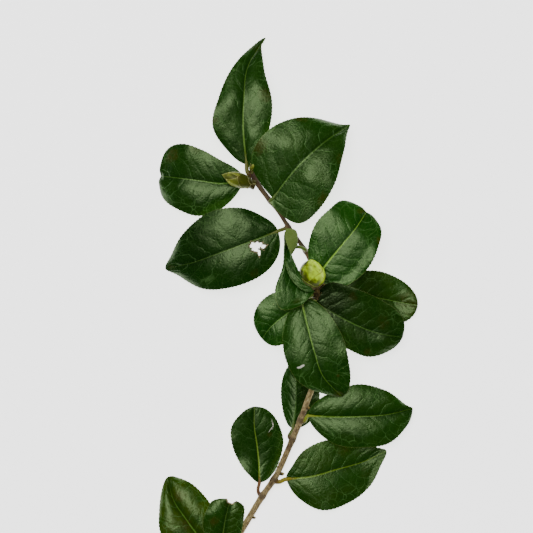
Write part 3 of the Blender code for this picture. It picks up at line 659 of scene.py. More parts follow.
stemSettings = {
    # x, y, height and radius of its middle line from the cut end to the top
    "axis": [
        (144.9, -36.4, 2.5, 2.5), (164.0, -7.2, 2.9, 2.3), (182.3, 23.2, 4.6, 2.2), (193.1, 39.3, 6.0, 2.1),
        (201.3, 57.2, 8.0, 2.1), (209.4, 76.4, 10.0, 2.1), (214.9, 91.5, 11.6, 2.0),
        (219.5, 105.0, 12.8, 1.9), (223.5, 128.0, 14.8, 1.8), (224.0, 152.0, 16.3, 1.8),
        (222.3, 170.0, 17.0, 1.8), (218.4, 186.0, 17.0, 1.55), (213.8, 197.4, 17.0, 1.5),
        (202.4, 213.6, 16.8, 1.45), (194.6, 225.6, 16.6, 1.5), (186.4, 236.0, 16.3, 1.7),
        (180.0, 245.0, 16.0, 1.85), (176.6, 252.6, 16.0, 1.9)],
    "swelling": 0.45,      # mm added where a leaf leaves the stem
    "swellingLength": 2.6,
    "rings": 520,
    "sides": 32,
    "ridges": 0.32,        # mm, the lengthwise ridges of the bark
    "ridgeNoise": (2.6, 3.0, 0.6),     # cycles a radius round the stem, detail and roughness
    "ridgeStretch": 0.16,  # how much the ridges are drawn out along the stem
    # painted shade: the young bark is coloured darkest on the side its faces turn towards
    "paintedShadeSide": (0.75, 0.6, -0.2),    # the side on which the young bark is darkest
    "lenticels": 150,
    "lenticelSize": 0.34,  # mm
    "lenticelFlatness": (1.0, 1.0, 0.4),
    "lenticelSpread": (0.5, 1.0),      # their sizes against the largest
    "lenticelSeeds": (7, 3),           # for their places and their sizes
    "cutRings": 8,
    "cutHollow": 0.12,     # mm that the rim of the cut stands above its pith
    "cutClear": 0.02,      # mm that the cut's disc stands off the bark's end
    "cutWidth": 0.985,     # the disc's radius against the stem's
}


class StemLine:
    def __init__(self, nodes):
        s = stemSettings
        keyed = through(s["axis"], np.linspace(0, 1, s["rings"]))
        self.points, self.radii = keyed[:, :3], keyed[:, 3]
        self.tangents = unit(np.gradient(self.points, axis=0))
        steps = np.linalg.norm(np.diff(self.points, axis=0), axis=1)
        self.run = np.concatenate([[0], np.cumsum(steps)])
        self.swell = np.zeros(len(self.run))
        for node in nodes:
            away = self.run - self.run[self.nearest(node)]
            self.swell = np.maximum(self.swell, s["swelling"] * np.exp(-(away / s["swellingLength"]) ** 2))
        self.radii = self.radii + self.swell

    def nearest(self, point):
        return int(np.argmin(np.linalg.norm(self.points - np.asarray(point, float), axis=1)))

    # The place on the bark that faces a point, with the way out of the stem there
    def seat(self, point, gap):
        i = self.nearest(point)
        out = np.asarray(point, float) - self.points[i]
        out = unit(out - out @ self.tangents[i] * self.tangents[i])
        return self.points[i] + out * (self.radii[i] + gap), out


stemLine = StemLine([leaf["node"] for leaf in (*leafTable.values(), foldedTable)])


# A ridged rod with small warts, held above the floor
def barkTree():
    s = stemSettings
    tree, put, given, keys = newTree("barkRod", {
        "Ridges": "Float", "Lenticels": "Float", "Lenticel size": "Float", "Material": "Material"})
    ring = put("GeometryNodeCurvePrimitiveCircle", {}, {"Resolution": s["sides"], "Radius": 1.0})
    place = put(placeNode, {}, [])
    ring = put(storeNode, {"data_type": "FLOAT_VECTOR", "domain": "POINT"}, {
        "Geometry": ring, "Name": "turn", "Value": place})
    # how far each face turns towards that side, for the painted shade on the young bark
    rod = storeFacing(put, sweepRing(put, given, ring), "shady", s["paintedShadeSide"])
    run = put(fieldNode, {"data_type": "FLOAT"}, {"Name": "run"})
    turn = put(fieldNode, {"data_type": "FLOAT_VECTOR"}, {"Name": "turn"})
    parts = put(splitNode, {}, [turn]).node
    slow = put(*multiply, [run, s["ridgeStretch"]])
    bark = put(combineNode, {}, [parts.outputs[0], parts.outputs[1], slow])
    ridges = put(noiseNode, {}, {"Vector": bark, **dict(zip(noiseKeys, s["ridgeNoise"]))})
    ridges = chain(put, ridges, (subtract, 0.55), (multiply, given["Ridges"]))
    rod = raiseAlong(put, rod, ridges)
    placeSeed, sizeSeed = s["lenticelSeeds"]
    smallest, largest = s["lenticelSpread"]
    spots = put("GeometryNodeDistributePointsOnFaces", {"distribute_method": "RANDOM"}, {
        "Mesh": rod, "Density": given["Lenticels"], "Seed": placeSeed})
    wart = put("GeometryNodeMeshUVSphere", {}, {"Segments": 8, "Rings": 5, "Radius": 1.0})
    wart = put("GeometryNodeTransform", {}, {"Geometry": wart, "Scale": s["lenticelFlatness"]})
    chance = put("FunctionNodeRandomValue", {"data_type": "FLOAT"}, {
        2: smallest, 3: largest, 8: sizeSeed}, out=1)
    size = put(*multiply, [chance, given["Lenticel size"]])
    warts = put("GeometryNodeInstanceOnPoints", {}, {
        "Points": spots, "Instance": wart, "Rotation": spots.node.outputs["Rotation"], "Scale": size})
    both = put("GeometryNodeJoinGeometry", {}, [rod])
    tree.links.new(warts, both.node.inputs[0])
    whole = put("GeometryNodeRealizeInstances", {}, [both])
    endTree(put, keepAbove(put, whole, 0.0), given["Material"])
    return tree, keys


barkSettings = {
    "stretch": 0.10,       # how much the streaks are drawn out along the stem
    "streaks": (3.2, 5.0, 0.65),    # cycles a radius round the stem, detail and roughness
    "tones": ((0.30, "#4a3c1e"), (0.5, "#a08a5a"), (0.72, "#d2c294")),
    "patches": (110.0, 3.0),    # cycles a metre and detail
    "specks": (600.0, 3.0),
    # each mask: the two ends of what it reads, and what it gives there. The first three read mm of stem
    "masks": {
        "young": (190.0, 236.0, 0.0, 1.0), "tan": (215.0, 256.0, 0.0, 0.85), "tip": (306.0, 319.0, 0.0, 0.8),
        "patchy": (0.5, 0.62, 0.0, 0.75), "shade": (0.0, 0.62, 0.0, 0.9), "specks": (0.5, 0.62, 0.0, 0.5)},
    "coats": {
        "patchy": "#523a20", "tan": "#4c361c", "shade": "#2a1a10", "tip": "#3c2416", "specks": "#4b3a1e",
        "joint": "#38261a"},
    "cracks": 3.0,         # cells a radius round the stem
    "crackStretch": (1.0, 1.0, 1.6),
    "crackWidth": 0.12,    # against a cell
    "bump": 0.12,          # mm
}


# Bark of a young twig, dry and finely ridged: a grey-brown skin with lengthwise cracks and pale warts, and
# painted shade down one side of the young bark
def makeBark():
    s = barkSettings
    material, put, shader = newMaterial("twigBark")
    turn = put(readNode, {"attribute_name": "turn"}, [], out=1)
    run, shady, joint = [
        put(readNode, {"attribute_name": name}, [], out=2) for name in ("run", "shady", "joint")]
    parts = put(splitNode, {}, [turn]).node
    slow = put(*multiply, [run, s["stretch"]])
    bark = put(combineNode, {}, [parts.outputs[0], parts.outputs[1], slow])
    place = put("ShaderNodeTexCoord", {}, [], out=3)
    streaks, patches, specks = [
        put(noiseNode, {}, {"Vector": at, **dict(zip(noiseKeys, s[name]))})
        for name, at in (("streaks", bark), ("patches", place), ("specks", place))]
    skin = put("ShaderNodeValToRGB", {}, [streaks])
    fillRamp(skin.node.color_ramp, s["tones"])
    # painted shade: the young bark is coloured darker on one side of the stem, broken by patches
    shade = put(*multiplyAdd, [patches, 0.5, shady])
    values = {"young": run, "tan": run, "tip": run, "patchy": patches, "shade": shade, "specks": specks}
    amount = {name: put(*eased, [values[name], *span]) for name, span in s["masks"].items()}
    amount["shade"] = put(*multiply, [amount["shade"], amount["young"]])
    amount["joint"] = chain(put, joint, (multiply, streaks), (straight, 0.1, 0.6, 0.0, 0.85))
    for name, code in s["coats"].items():
        skin = put(*tinted, {0: amount[name], 6: skin, 7: colour(code)}, out=2)
    crackPlace = put(vectorNode, {"operation": "MULTIPLY"}, [bark, s["crackStretch"]])
    cracks = put(*cellEdges, {"Vector": crackPlace, "Scale": s["cracks"]})
    cracked = put(*straight, [cracks, 0.0, s["crackWidth"], 0.0, 1.0])
    height = put(*multiplyAdd, [streaks, 1.5, cracked])
    coverShader(put, shader, skin, height, 0.6, s["bump"])
    dull = put(*straight, [streaks, 0.3, 0.7, 0.62, 0.85])
    link(dull, shader, "Roughness")
    shader.inputs["IOR"].default_value = 1.45
    return material


# The cut's colours from the pith 0 to the bark 1
cutTones = (
    (0.1, "#8a6a44"), (0.22, "#d8c79c"), (0.5, "#cdb988"), (0.56, "#b9a06c"), (0.62, "#d2c08f"),
    (0.88, "#b8a777"), (1.0, "#7d6a48"))


# Freshly cut wood: a pale disc with a darker pith and faint rings
def makeCutWood():
    material, put, shader = newMaterial("cutTwigWood")
    radial = put(readNode, {"attribute_name": "radial"}, [], out=2)
    place = put("ShaderNodeTexCoord", {}, [], out=3)
    noise = put(noiseNode, {}, {"Vector": place, "Scale": 1500.0, "Detail": 3.0})
    uneven = put(*multiplyAdd, [noise, 0.12, radial])
    tone = put("ShaderNodeValToRGB", {}, [uneven])
    fillRamp(tone.node.color_ramp, cutTones)
    coverShader(put, shader, tone, noise, 0.5, 0.05)
    shader.inputs["Roughness"].default_value = 0.75
    return material


def buildStem():
    s = stemSettings
    bark, wood = makeBark(), makeCutWood()
    path = toRow(stemLine.points)
    edges = [(i, i + 1) for i in range(len(path) - 1)]
    attributes = {"girth": stemLine.radii * mm, "run": stemLine.run, "joint": stemLine.swell / s["swelling"]}
    stem = newPiece("stemBark", path, edges, [], attributes, [bark])
    tree, keys = barkTree()
    area = 2 * pi * stemLine.radii.mean() * stemLine.run[-1] * mm * mm
    useTree(stem, tree, keys, {
        "Ridges": s["ridges"] * mm, "Lenticels": s["lenticels"] / area,
        "Lenticel size": s["lenticelSize"] * mm, "Material": bark})
    settle(stem)

    # the cut end: rings of points from the pith outwards, a little hollow
    start, away = stemLine.points[0], -stemLine.tangents[0]
    side = unit(np.cross((0.0, 0.0, 1.0), away))
    up = np.cross(away, side)
    rings, turns = s["cutRings"], s["sides"]
    points, radial, faces = [start + away * s["cutClear"]], [0.0], []
    for part in np.arange(1, rings + 1) / rings:
        for a in 2 * pi * np.arange(turns) / turns:
            reach = part * stemLine.radii[0] * s["cutWidth"]
            lift = away * (s["cutClear"] + s["cutHollow"] * part**3)
            points.append(start + lift + (side * np.cos(a) + up * np.sin(a)) * reach)
            radial.append(part)
    for k in range(turns):
        n = (k + 1) % turns
        faces.append((0, 1 + k, 1 + n))
        for a in range(1, 1 + (rings - 1) * turns, turns):
            faces.append((a + k, a + turns + k, a + turns + n, a + n))
    points = np.array(points)
    points[:, 2] = np.maximum(points[:, 2], 0.0)
    cut = newPiece("stemCut", toRow(points), [], faces, {"radial": radial}, [wood])
    joinInto(stem, [cut])
    finishPiece(stem, "stem", 60)
    print("stem built:", len(stem.data.polygons), "faces")


# Leaf materials

upperSettings = {
    # noises over the blade: cycles a mm, detail and roughness
    "noises": {
        "broken": (0.08, 2.0), "patches": (0.06, 3.0), "grain": (0.9, 4.0, 0.65), "aged": (0.1, 3.0),
        "ragged": (0.35, 4.0), "crumbs": (1.3, 2.0), "torn": (0.8, 2.0), "fine": (1.6, 3.0)},
    # each mask: the two ends of what it reads, in mm or as a share, and what it gives there
    "masks": {
        "rib": (-0.2, 0.25, 1.0, 0.0), "ribFade": (0.1, 1.0, 0.9, 0.42), "side": (0.02, 0.26, 1.0, 0.0),
        "loop": (0.02, 0.26, 0.5, 0.0), "broken": (0.36, 0.62, 0.3, 1.0), "net": (0.01, 0.08, 0.16, 0.0),
        "wideNet": (0.008, 0.036, 1.0, 0.0), "outer": (0.35, 0.75, 0.2, 1.0), "aged": (0.3, 0.65, 0.3, 1.2),
        # valley is painted shade: darkest beside the midrib and gone some 4 mm out
        "valley": (0.6, 4.0, 0.45, 0.0), "brown": (0.12, 0.62, 0.0, 0.75), "rim": (0.05, 0.4, 0.6, 0.0),
        "dead": (0.15, 0.6, 0.0, 1.0), "crumbs": (0.45, 0.55, 0.0, 1.0), "pillow": (0.0, 0.45, 0.0, 1.0)},
    # the same, with straight slopes
    "slopes": {
        "sideFade": (0.3, 0.8, 1.0, 0.15), "grain": (0.35, 0.7, 0.0, 0.4), "grit": (0.78, 1.0, 0.0, 0.09),
        "scab": (1.2, 1.5, 1.0, 0.0), "dull": (0.3, 0.7, 0.18, 0.30)},
    "greens": ((0.3, "#062f02"), (0.72, "#134003")),    # from blue-black to olive in patches of some 15 mm
    "coats": {
        # rim is a pale margin, partly the leaf's own edge and partly a painted highlight
        "grain": "#184606", "aged": "#334805", "net": "#4f763a", "veins": "#588244", "valley": "#062902",
        "brown": "#3d3d10", "rim": "#66743a", "grit": "#8a9a58", "scab": "#e6e4d4"},
    "dead": ("#2e1c0e", "#b3a27c"),
    "netShift": ((0.13, 1.0), (3.6, 3.6, 0.0)),    # what bends the net: its noise, and how far in mm
    "gritSpacing": 0.22,   # cells a mm, some of which hold a speck of dust
    "furrows": (26.0, 2.2),     # shallow furrows beside the side veins, along and across the blade
    "bump": 0.09,          # mm
}


# Waxy upper side of an evergreen leaf: a smooth cuticle over quilted cells, deep green under a soft sheen
def makeLeafUpper():
    s = upperSettings
    material, put, shader = newMaterial("waxyLeafUpper")
    along, across, edge, brown, scar, olive, tone, ribWide = [
        put(readNode, {"attribute_name": name}, [], out=2)
        for name in ("along", "across", "edge", "brown", "scar", "olive", "tone", "ribHalf")]
    lamina, scab = [
        put(readNode, {"attribute_name": name}, [], out=1) for name in ("lamina", "scab")]
    ribTint = put(readNode, {"attribute_name": "ribTint"}, [])
    veins = veinFields(put, along, across, lamina)
    noise = {
        name: put(noiseNode, {}, {"Vector": lamina, **dict(zip(noiseKeys, values))})
        for name, values in s["noises"].items()}

    # what each mask reads: the midrib and veins from their width in mm, the nets, patches of age and damage
    parts = put(splitNode, {}, [lamina]).node
    fromRib = put(*absolute, [parts.outputs[1]])
    ribFrom = put(*subtract, [fromRib, ribWide])
    shiftNoise, reach = s["netShift"]
    shift = put(noiseNode, {}, {"Vector": lamina, **dict(zip(noiseKeys, shiftNoise))}, out=1)
    shifted = put(vectorNode, {"operation": "MULTIPLY_ADD"}, [shift, reach, lamina])
    net, wideNet = [
        put(*cellEdges, {"Vector": shifted, "Scale": 1 / veinSettings[size]})
        for size in ("netSize", "wideNetSize")]
    browned = put(*multiply, [brown, noise["ragged"]])
    grit = put(cellNode, {"feature": "F1"}, {"Vector": lamina, "Scale": s["gritSpacing"]})
    gritChance = put("ShaderNodeSeparateColor", {}, [grit.node.outputs["Color"]])
    scab = put(vectorNode, {"operation": "LENGTH"}, [scab], out=1)
    torn = put(*multiplyAdd, [noise["torn"], 0.9, scab])
    values = {
        "rib": ribFrom, "ribFade": along, "side": veins["side"], "sideFade": veins["reach"],
        "loop": veins["loop"], "broken": noise["broken"], "net": net, "wideNet": wideNet,
        "outer": veins["reach"], "aged": noise["aged"], "valley": fromRib, "brown": browned, "rim": edge,
        "dead": scar, "crumbs": noise["crumbs"], "pillow": net, "grain": noise["grain"], "grit": gritChance,
        "scab": torn, "dull": noise["grain"]}
    mask = {}
    for ramp, spans in ((eased, s["masks"]), (straight, s["slopes"])):
        for name, span in spans.items():
            mask[name] = put(*ramp, [values[name], *span])

    # veins and nets fade in places
    lines = chain(
        put, mask["side"], (multiply, mask["sideFade"]), (maximum, mask["loop"]),
        (multiply, mask["broken"]))
    wideLine = put(*multiply, [mask["wideNet"], mask["outer"]])
    amount = {name: mask[name] for name in ("grain", "valley", "brown", "rim", "scab", "dead")}
    amount["aged"] = put(*multiply, [mask["aged"], olive])
    amount["net"] = chain(
        put, mask["net"], (maximum, wideLine), (multiply, 0.7),
        (multiply, mask["broken"]))
    amount["veins"] = put(*multiply, [lines, 0.9])
    amount["rib"] = put(*multiply, [mask["rib"], mask["ribFade"]])
    amount["grit"] = chain(put, grit, (less, mask["grit"]), (multiply, 0.55))

    # the coats lie over the green in this order; valley is painted shade beside the midrib, and rim is partly
    # a painted highlight on the margin
    green = put("ShaderNodeValToRGB", {}, [noise["patches"]])
    fillRamp(green.node.color_ramp, s["greens"])
    coats = {name: colour(code) for name, code in s["coats"].items()}
    darkCrumb, paleCrumb = [colour(code) for code in s["dead"]]
    coats["rib"] = ribTint
    coats["dead"] = put(*tinted, {0: mask["crumbs"], 6: darkCrumb, 7: paleCrumb}, out=2)
    for name in ("grain", "aged", "net", "veins", "valley", "brown", "rib", "rim", "grit", "dead", "scab"):
        green = put(*tinted, {0: amount[name], 6: green, 7: coats[name]}, out=2)
    green = put(vectorNode, {"operation": "SCALE"}, {"Vector": green, "Scale": tone})

    # the cells between the veins stand up like a quilt; shallow furrows run beside the side veins
    height = put(*multiplyAdd, [lines, -0.8, mask["pillow"]])
    furrowRun, furrowSide = [
        put(*multiply, [value, scale])
        for value, scale in zip((veins["start"], across), s["furrows"])]
    furrowPlace = put(combineNode, {}, [furrowRun, furrowSide, parts.outputs[2]])
    furrows = put(noiseNode, {}, {"Vector": furrowPlace, "Scale": 1.0, "Detail": 2.0})
    for layer, strength in ((furrows, 0.6), (noise["fine"], 1.5)):
        height = put(*multiplyAdd, [layer, strength, height])
    coverShader(put, shader, green, height, 0.66, s["bump"])
    dull = put(*multiplyAdd, [mask["dead"], 0.4, mask["dull"]])
    link(dull, shader, "Roughness")
    shader.inputs["IOR"].default_value = 1.47
    shader.inputs["Specular Tint"].default_value = (0.70, 1.0, 0.46, 1.0)
    return material


undersideSettings = {
    # each mask: the two ends of what it reads, and what it gives there
    "masks": {"side": (0.1, 0.55, 0.22, 0.0), "net": (0.02, 0.12, 0.12, 0.0), "deep": (0.3, 0.9, 0.75, 0.0)},
    "body": "#5f7a2c",
    "coats": {"patches": "#6e8636", "deep": "#3f5418", "lines": "#94a866"},
    "bump": 0.12,          # mm
}


# Underside of the leaf: paler, without the wax, so it shows matte, with veins that stand out
def makeLeafUnderside():
    s = undersideSettings
    material, put, shader = newMaterial("matteLeafUnderside")
    along, across = [
        put(readNode, {"attribute_name": name}, [], out=2) for name in ("along", "across")]
    lamina = put(readNode, {"attribute_name": "lamina"}, [], out=1)
    veins = veinFields(put, along, across, lamina)
    net = put(*cellEdges, {"Vector": lamina, "Scale": 1 / veinSettings["netSize"]})
    values = {"side": veins["side"], "net": net, "deep": veins["reach"]}
    amount = {name: put(*eased, [values[name], *span]) for name, span in s["masks"].items()}
    amount["lines"] = put(*maximum, [amount["side"], amount["net"]])
    amount["patches"] = put(noiseNode, {}, {"Vector": lamina, "Scale": 0.2, "Detail": 4.0})
    pale = colour(s["body"])
    for name, code in s["coats"].items():
        pale = put(*tinted, {0: amount[name], 6: pale, 7: colour(code)}, out=2)
    fine = put(noiseNode, {}, {"Vector": lamina, "Scale": 3.0, "Detail": 3.0})
    height = put(*multiplyAdd, [fine, 0.4, amount["lines"]])
    coverShader(put, shader, pale, height, 0.5, s["bump"])
    shader.inputs["Roughness"].default_value = 0.55
    shader.inputs["IOR"].default_value = 1.42
    return material


stalkSettings = {
    "depth": 0.9,          # mm that the stalk starts inside the bark
    "steps": 24,           # along the stalk
    "ribSteps": 60,        # along the midrib
    "ribEnd": 0.93,        # where the midrib's rod ends, from base 0 to tip 1
    "ribTaper": (0.92, 0.82),   # its girth against the stalk's at the base, and how much it loses
    "footSwell": 0.45,     # how much thicker the stalk is at the twig
    "handle": 0.4,         # how far the stalk runs straight at both ends, against the stalk's length
    "streak": "#3f4a1e",
    "flush": "#5a3d28",    # at the twig
}


# Leaf stalk and midrib: a smooth fleshy rod, green with a brown flush at the twig
def makeStalk():
    s = stalkSettings
    material, put, shader = newMaterial("smoothLeafStalk")
    skin = put(readNode, {"attribute_name": "ribTint"}, [])
    foot = put(readNode, {"attribute_name": "foot"}, [], out=2)
    place = put("ShaderNodeTexCoord", {}, [], out=3)
    streaks = put(noiseNode, {}, {"Vector": place, "Scale": 900.0, "Detail": 3.0})
    amount = put(*straight, [streaks, 0.35, 0.7, 0.0, 0.45])
    for share, code in ((amount, s["streak"]), (foot, s["flush"])):
        skin = put(*tinted, {0: share, 6: skin, 7: colour(code)}, out=2)
    coverShader(put, shader, skin, streaks, 0.4, 0.08)
    shader.inputs["Roughness"].default_value = 0.45
    shader.inputs["IOR"].default_value = 1.35
    return material


# The rod of a leaf: its stalk from the bark to the blade, then the midrib under the blade
def stalkPath(leaf, shape, flip):
    s = stalkSettings
    start, out = stemLine.seat(leaf["node"], -s["depth"])
    u = np.linspace(0.0, s["ribEnd"], s["ribSteps"])
    turn = np.arccos(1 - 2 * u)
    middle, leftOf, rightOf = [shape(leaf, turn, np.full(len(u), v))[0] for v in (-0.0001, 0.12, -0.12)]
    lead = unit(np.gradient(middle, axis=0))
    facing = unit(np.cross(lead, leftOf - rightOf)) * (-1 if flip else 1)
    base = middle[0]
    reach = np.linalg.norm(base - start)
    p1 = start + out * (s["handle"] * reach + s["depth"])
    p2 = base - lead[2] * leaf.get("neck", s["handle"]) * reach
    t = np.linspace(0, 1, s["steps"])[:-1, None]
    stalk = (1 - t) ** 3 * start + 3 * t * (1 - t) ** 2 * p1 + 3 * t * t * (1 - t) * p2 + t**3 * base
    radius = leaf.get("stalkRadius", leafSettings["stalkRadius"])
    first, loss = s["ribTaper"]
    ribGirth = radius * (first - loss * u**0.8)
    sink = np.minimum(1, u / 0.07)[:, None] * (ribGirth[:, None] * 0.8 + 0.05)
    stalkGirth = radius * (1.0 + s["footSwell"] * np.exp(-(t[:, 0] / 0.16) ** 2))
    path = np.concatenate([stalk, middle - facing * sink])
    girth = np.concatenate([stalkGirth, ribGirth])
    path[:, 2] = np.maximum(path[:, 2], girth)
    foot = np.concatenate([0.9 * np.exp(-(t[:, 0] / 0.3) ** 2), np.zeros(len(u))])
    bladeU = np.concatenate([np.zeros(len(t)), u])
    return path, girth, foot, bladeU


# The midrib's colour, which starts as the stalk's
def ribTints(leaf, u):
    stalk, rib = np.array(linear(leaf["stalk"])), np.array(linear(leaf["rib"]))
    mixed = stalk + (rib - stalk) * smooth(0.0, 0.16, u)[:, None]
    return np.column_stack([mixed, np.ones(len(u))])


def buildLeaves():
    s = leafSettings
    upper, underside, stalkSkin = makeLeafUpper(), makeLeafUnderside(), makeStalk()
    relief, reliefKeys = reliefTree()
    rods, rodKeys = rodTree("leafStalkRod", 12)
    everyLeaf = [(name, leaf, bladePoints, False) for name, leaf in leafTable.items()]
    everyLeaf.append(("leaf_folded", foldedTable, foldedPoints, True))
    total = 0
    for index, (name, leaf, shape, flip) in enumerate(everyLeaf):
        points, faces, attributes = leafSheet(name, leaf, shape, index)
        if flip:
            faces = [tuple(reversed(face)) for face in faces]
        attributes["ribTint"] = ribTints(leaf, attributes["along"])
        blade = newPiece(name + "Blade", toRow(points), [], faces, attributes, [upper, underside, stalkSkin])
        useTree(blade, relief, reliefKeys, {
            "Bulge": s["bulge"] * mm, "Groove": s["groove"] * mm, "Unevenness": s["unevenness"] * mm,
            "Lowest": (s["thickness"] / 2 + s["clear"]) * mm, "Material": upper})
        wall = blade.modifiers.new("thickness", "SOLIDIFY")
        wall.thickness, wall.offset = s["thickness"] * mm, 0.0
        wall.material_offset, wall.material_offset_rim = 1, 0
        settle(blade)

        path, girth, foot, u = stalkPath(leaf, shape, flip)
        edges = [(i, i + 1) for i in range(len(path) - 1)]
        more = {"girth": girth * mm, "foot": foot, "along": u, "ribTint": ribTints(leaf, u)}
        rod = newPiece(name + "Rod", toRow(path), edges, [], more, [stalkSkin])
        useTree(rod, rods, rodKeys, {"Material": stalkSkin})
        settle(rod)
        joinInto(blade, [rod])
        finishPiece(blade, name, 40)
        total += len(blade.data.polygons)
    print("leaves built:", len(everyLeaf), "with", total, "faces")


# Buds: overlapping scales round an egg shape

# Foot and tip are on the sheet, sizes in mm and turns in radians. layer is how far a scale lies outside the
# next, firstTip how far up the outermost ends, lift how far the tips stand off, and the painted light side
# the direction towards which the scales are painted palest, as painted light, with painted shade turned away
# from it
budTable = {
    "flower_bud": dict(
        foot=(219.0, 172.2, 25.4), tip=(217.0, 190.8, 39.6), radius=9.0, stalk=1.6, scales=6, turn=2.4,
        start=1.2, spread=1.6, firstTip=0.3, layer=0.12, lift=0.12, roundness=0.6, fullness=0.85, blunt=0.62,
        paintedLightSide=(-1.26, 0.33, 0.79), skin="sepal", slot="flower_bud"),
    "leaf_bud_side": dict(
        foot=(178.2, 243.7, 17.0), tip=(155.2, 250.6, 23.0), radius=5.0, stalk=2.5, scales=7, turn=2.6,
        spread=1.5, firstTip=0.2, layer=0.16, lift=0.3, roundness=1.0, fullness=1.1, blunt=1.1,
        skin="oliveScale", slot="bud_scale"),
    "leaf_bud_end": dict(
        foot=(176.0, 252.2, 16.8), tip=(178.0, 260.2, 20.6), radius=2.1, stalk=1.5, scales=5, turn=2.6,
        spread=1.5, firstTip=0.4, layer=0.08, lift=0.4, roundness=0.8, fullness=1.0, blunt=1.1,
        skin="oliveScale", slot="brown_bud"),
}
budDefaults = {"start": 0.0, "blunt": 0.9, "paintedLightSide": (0.0, 0.0, 0.4)}
budStalk = dict(
    foot=(221.8, 164.8, 19.6), tip=(220.4, 173.0, 25.6), radius=2.3, stalk=1.6, scales=7, turn=2.4,
    spread=1.3, firstTip=0.35, layer=0.2, lift=0.8, roundness=0.9, fullness=0.8, skin="brownScale", slot=None)
axilShape = dict(
    scales=4, turn=2.6, spread=1.5, firstTip=0.4, layer=0.028, lift=0.06, roundness=0.8, fullness=0.85,
    skin="brownScale", slot="brown_bud")
axilSettings = {
    "buds": [    # a point that each faces, and its length
        ((177.0, 9.8, 4.2), 2.6), ((196.8, 40.8, 7.0), 3.4), ((216.0, 86.4, 13.4), 3.0),
        ((226.0, 173.0, 17.6), 5.4)],
    "depth": 0.3,       # mm that the foot lies inside the bark
    "rise": 0.04,       # how far it stands out again, against the length
    "lean": 0.6,        # how far the bud leans up the stem
    "radius": 0.36,     # against the length
    "stalk": 0.26,
}

budMesh = {
    "scale": (17, 23),     # points across and along a scale
    "core": (41, 31),      # points round and along the closed core
    "coreFit": 0.99,       # the core's girth against the egg's
    "wall": 0.8,           # a scale's thickness against how far it lies outside the next
    "merge": 0.004,        # mm
}

# The bud tree's inputs and the bud's values for them
budInputs = {
    "Scales": "scales", "Turn": "turn", "Spread": "spread", "Radius": "radius", "Length": "length",
    "Stalk": "stalk", "First tip": "firstTip", "Layer": "layer", "Lift": "lift", "Roundness": "roundness",
    "Fullness": "fullness", "Start": "start", "Blunt": "blunt", "Painted light side": "paintedLightSide"}


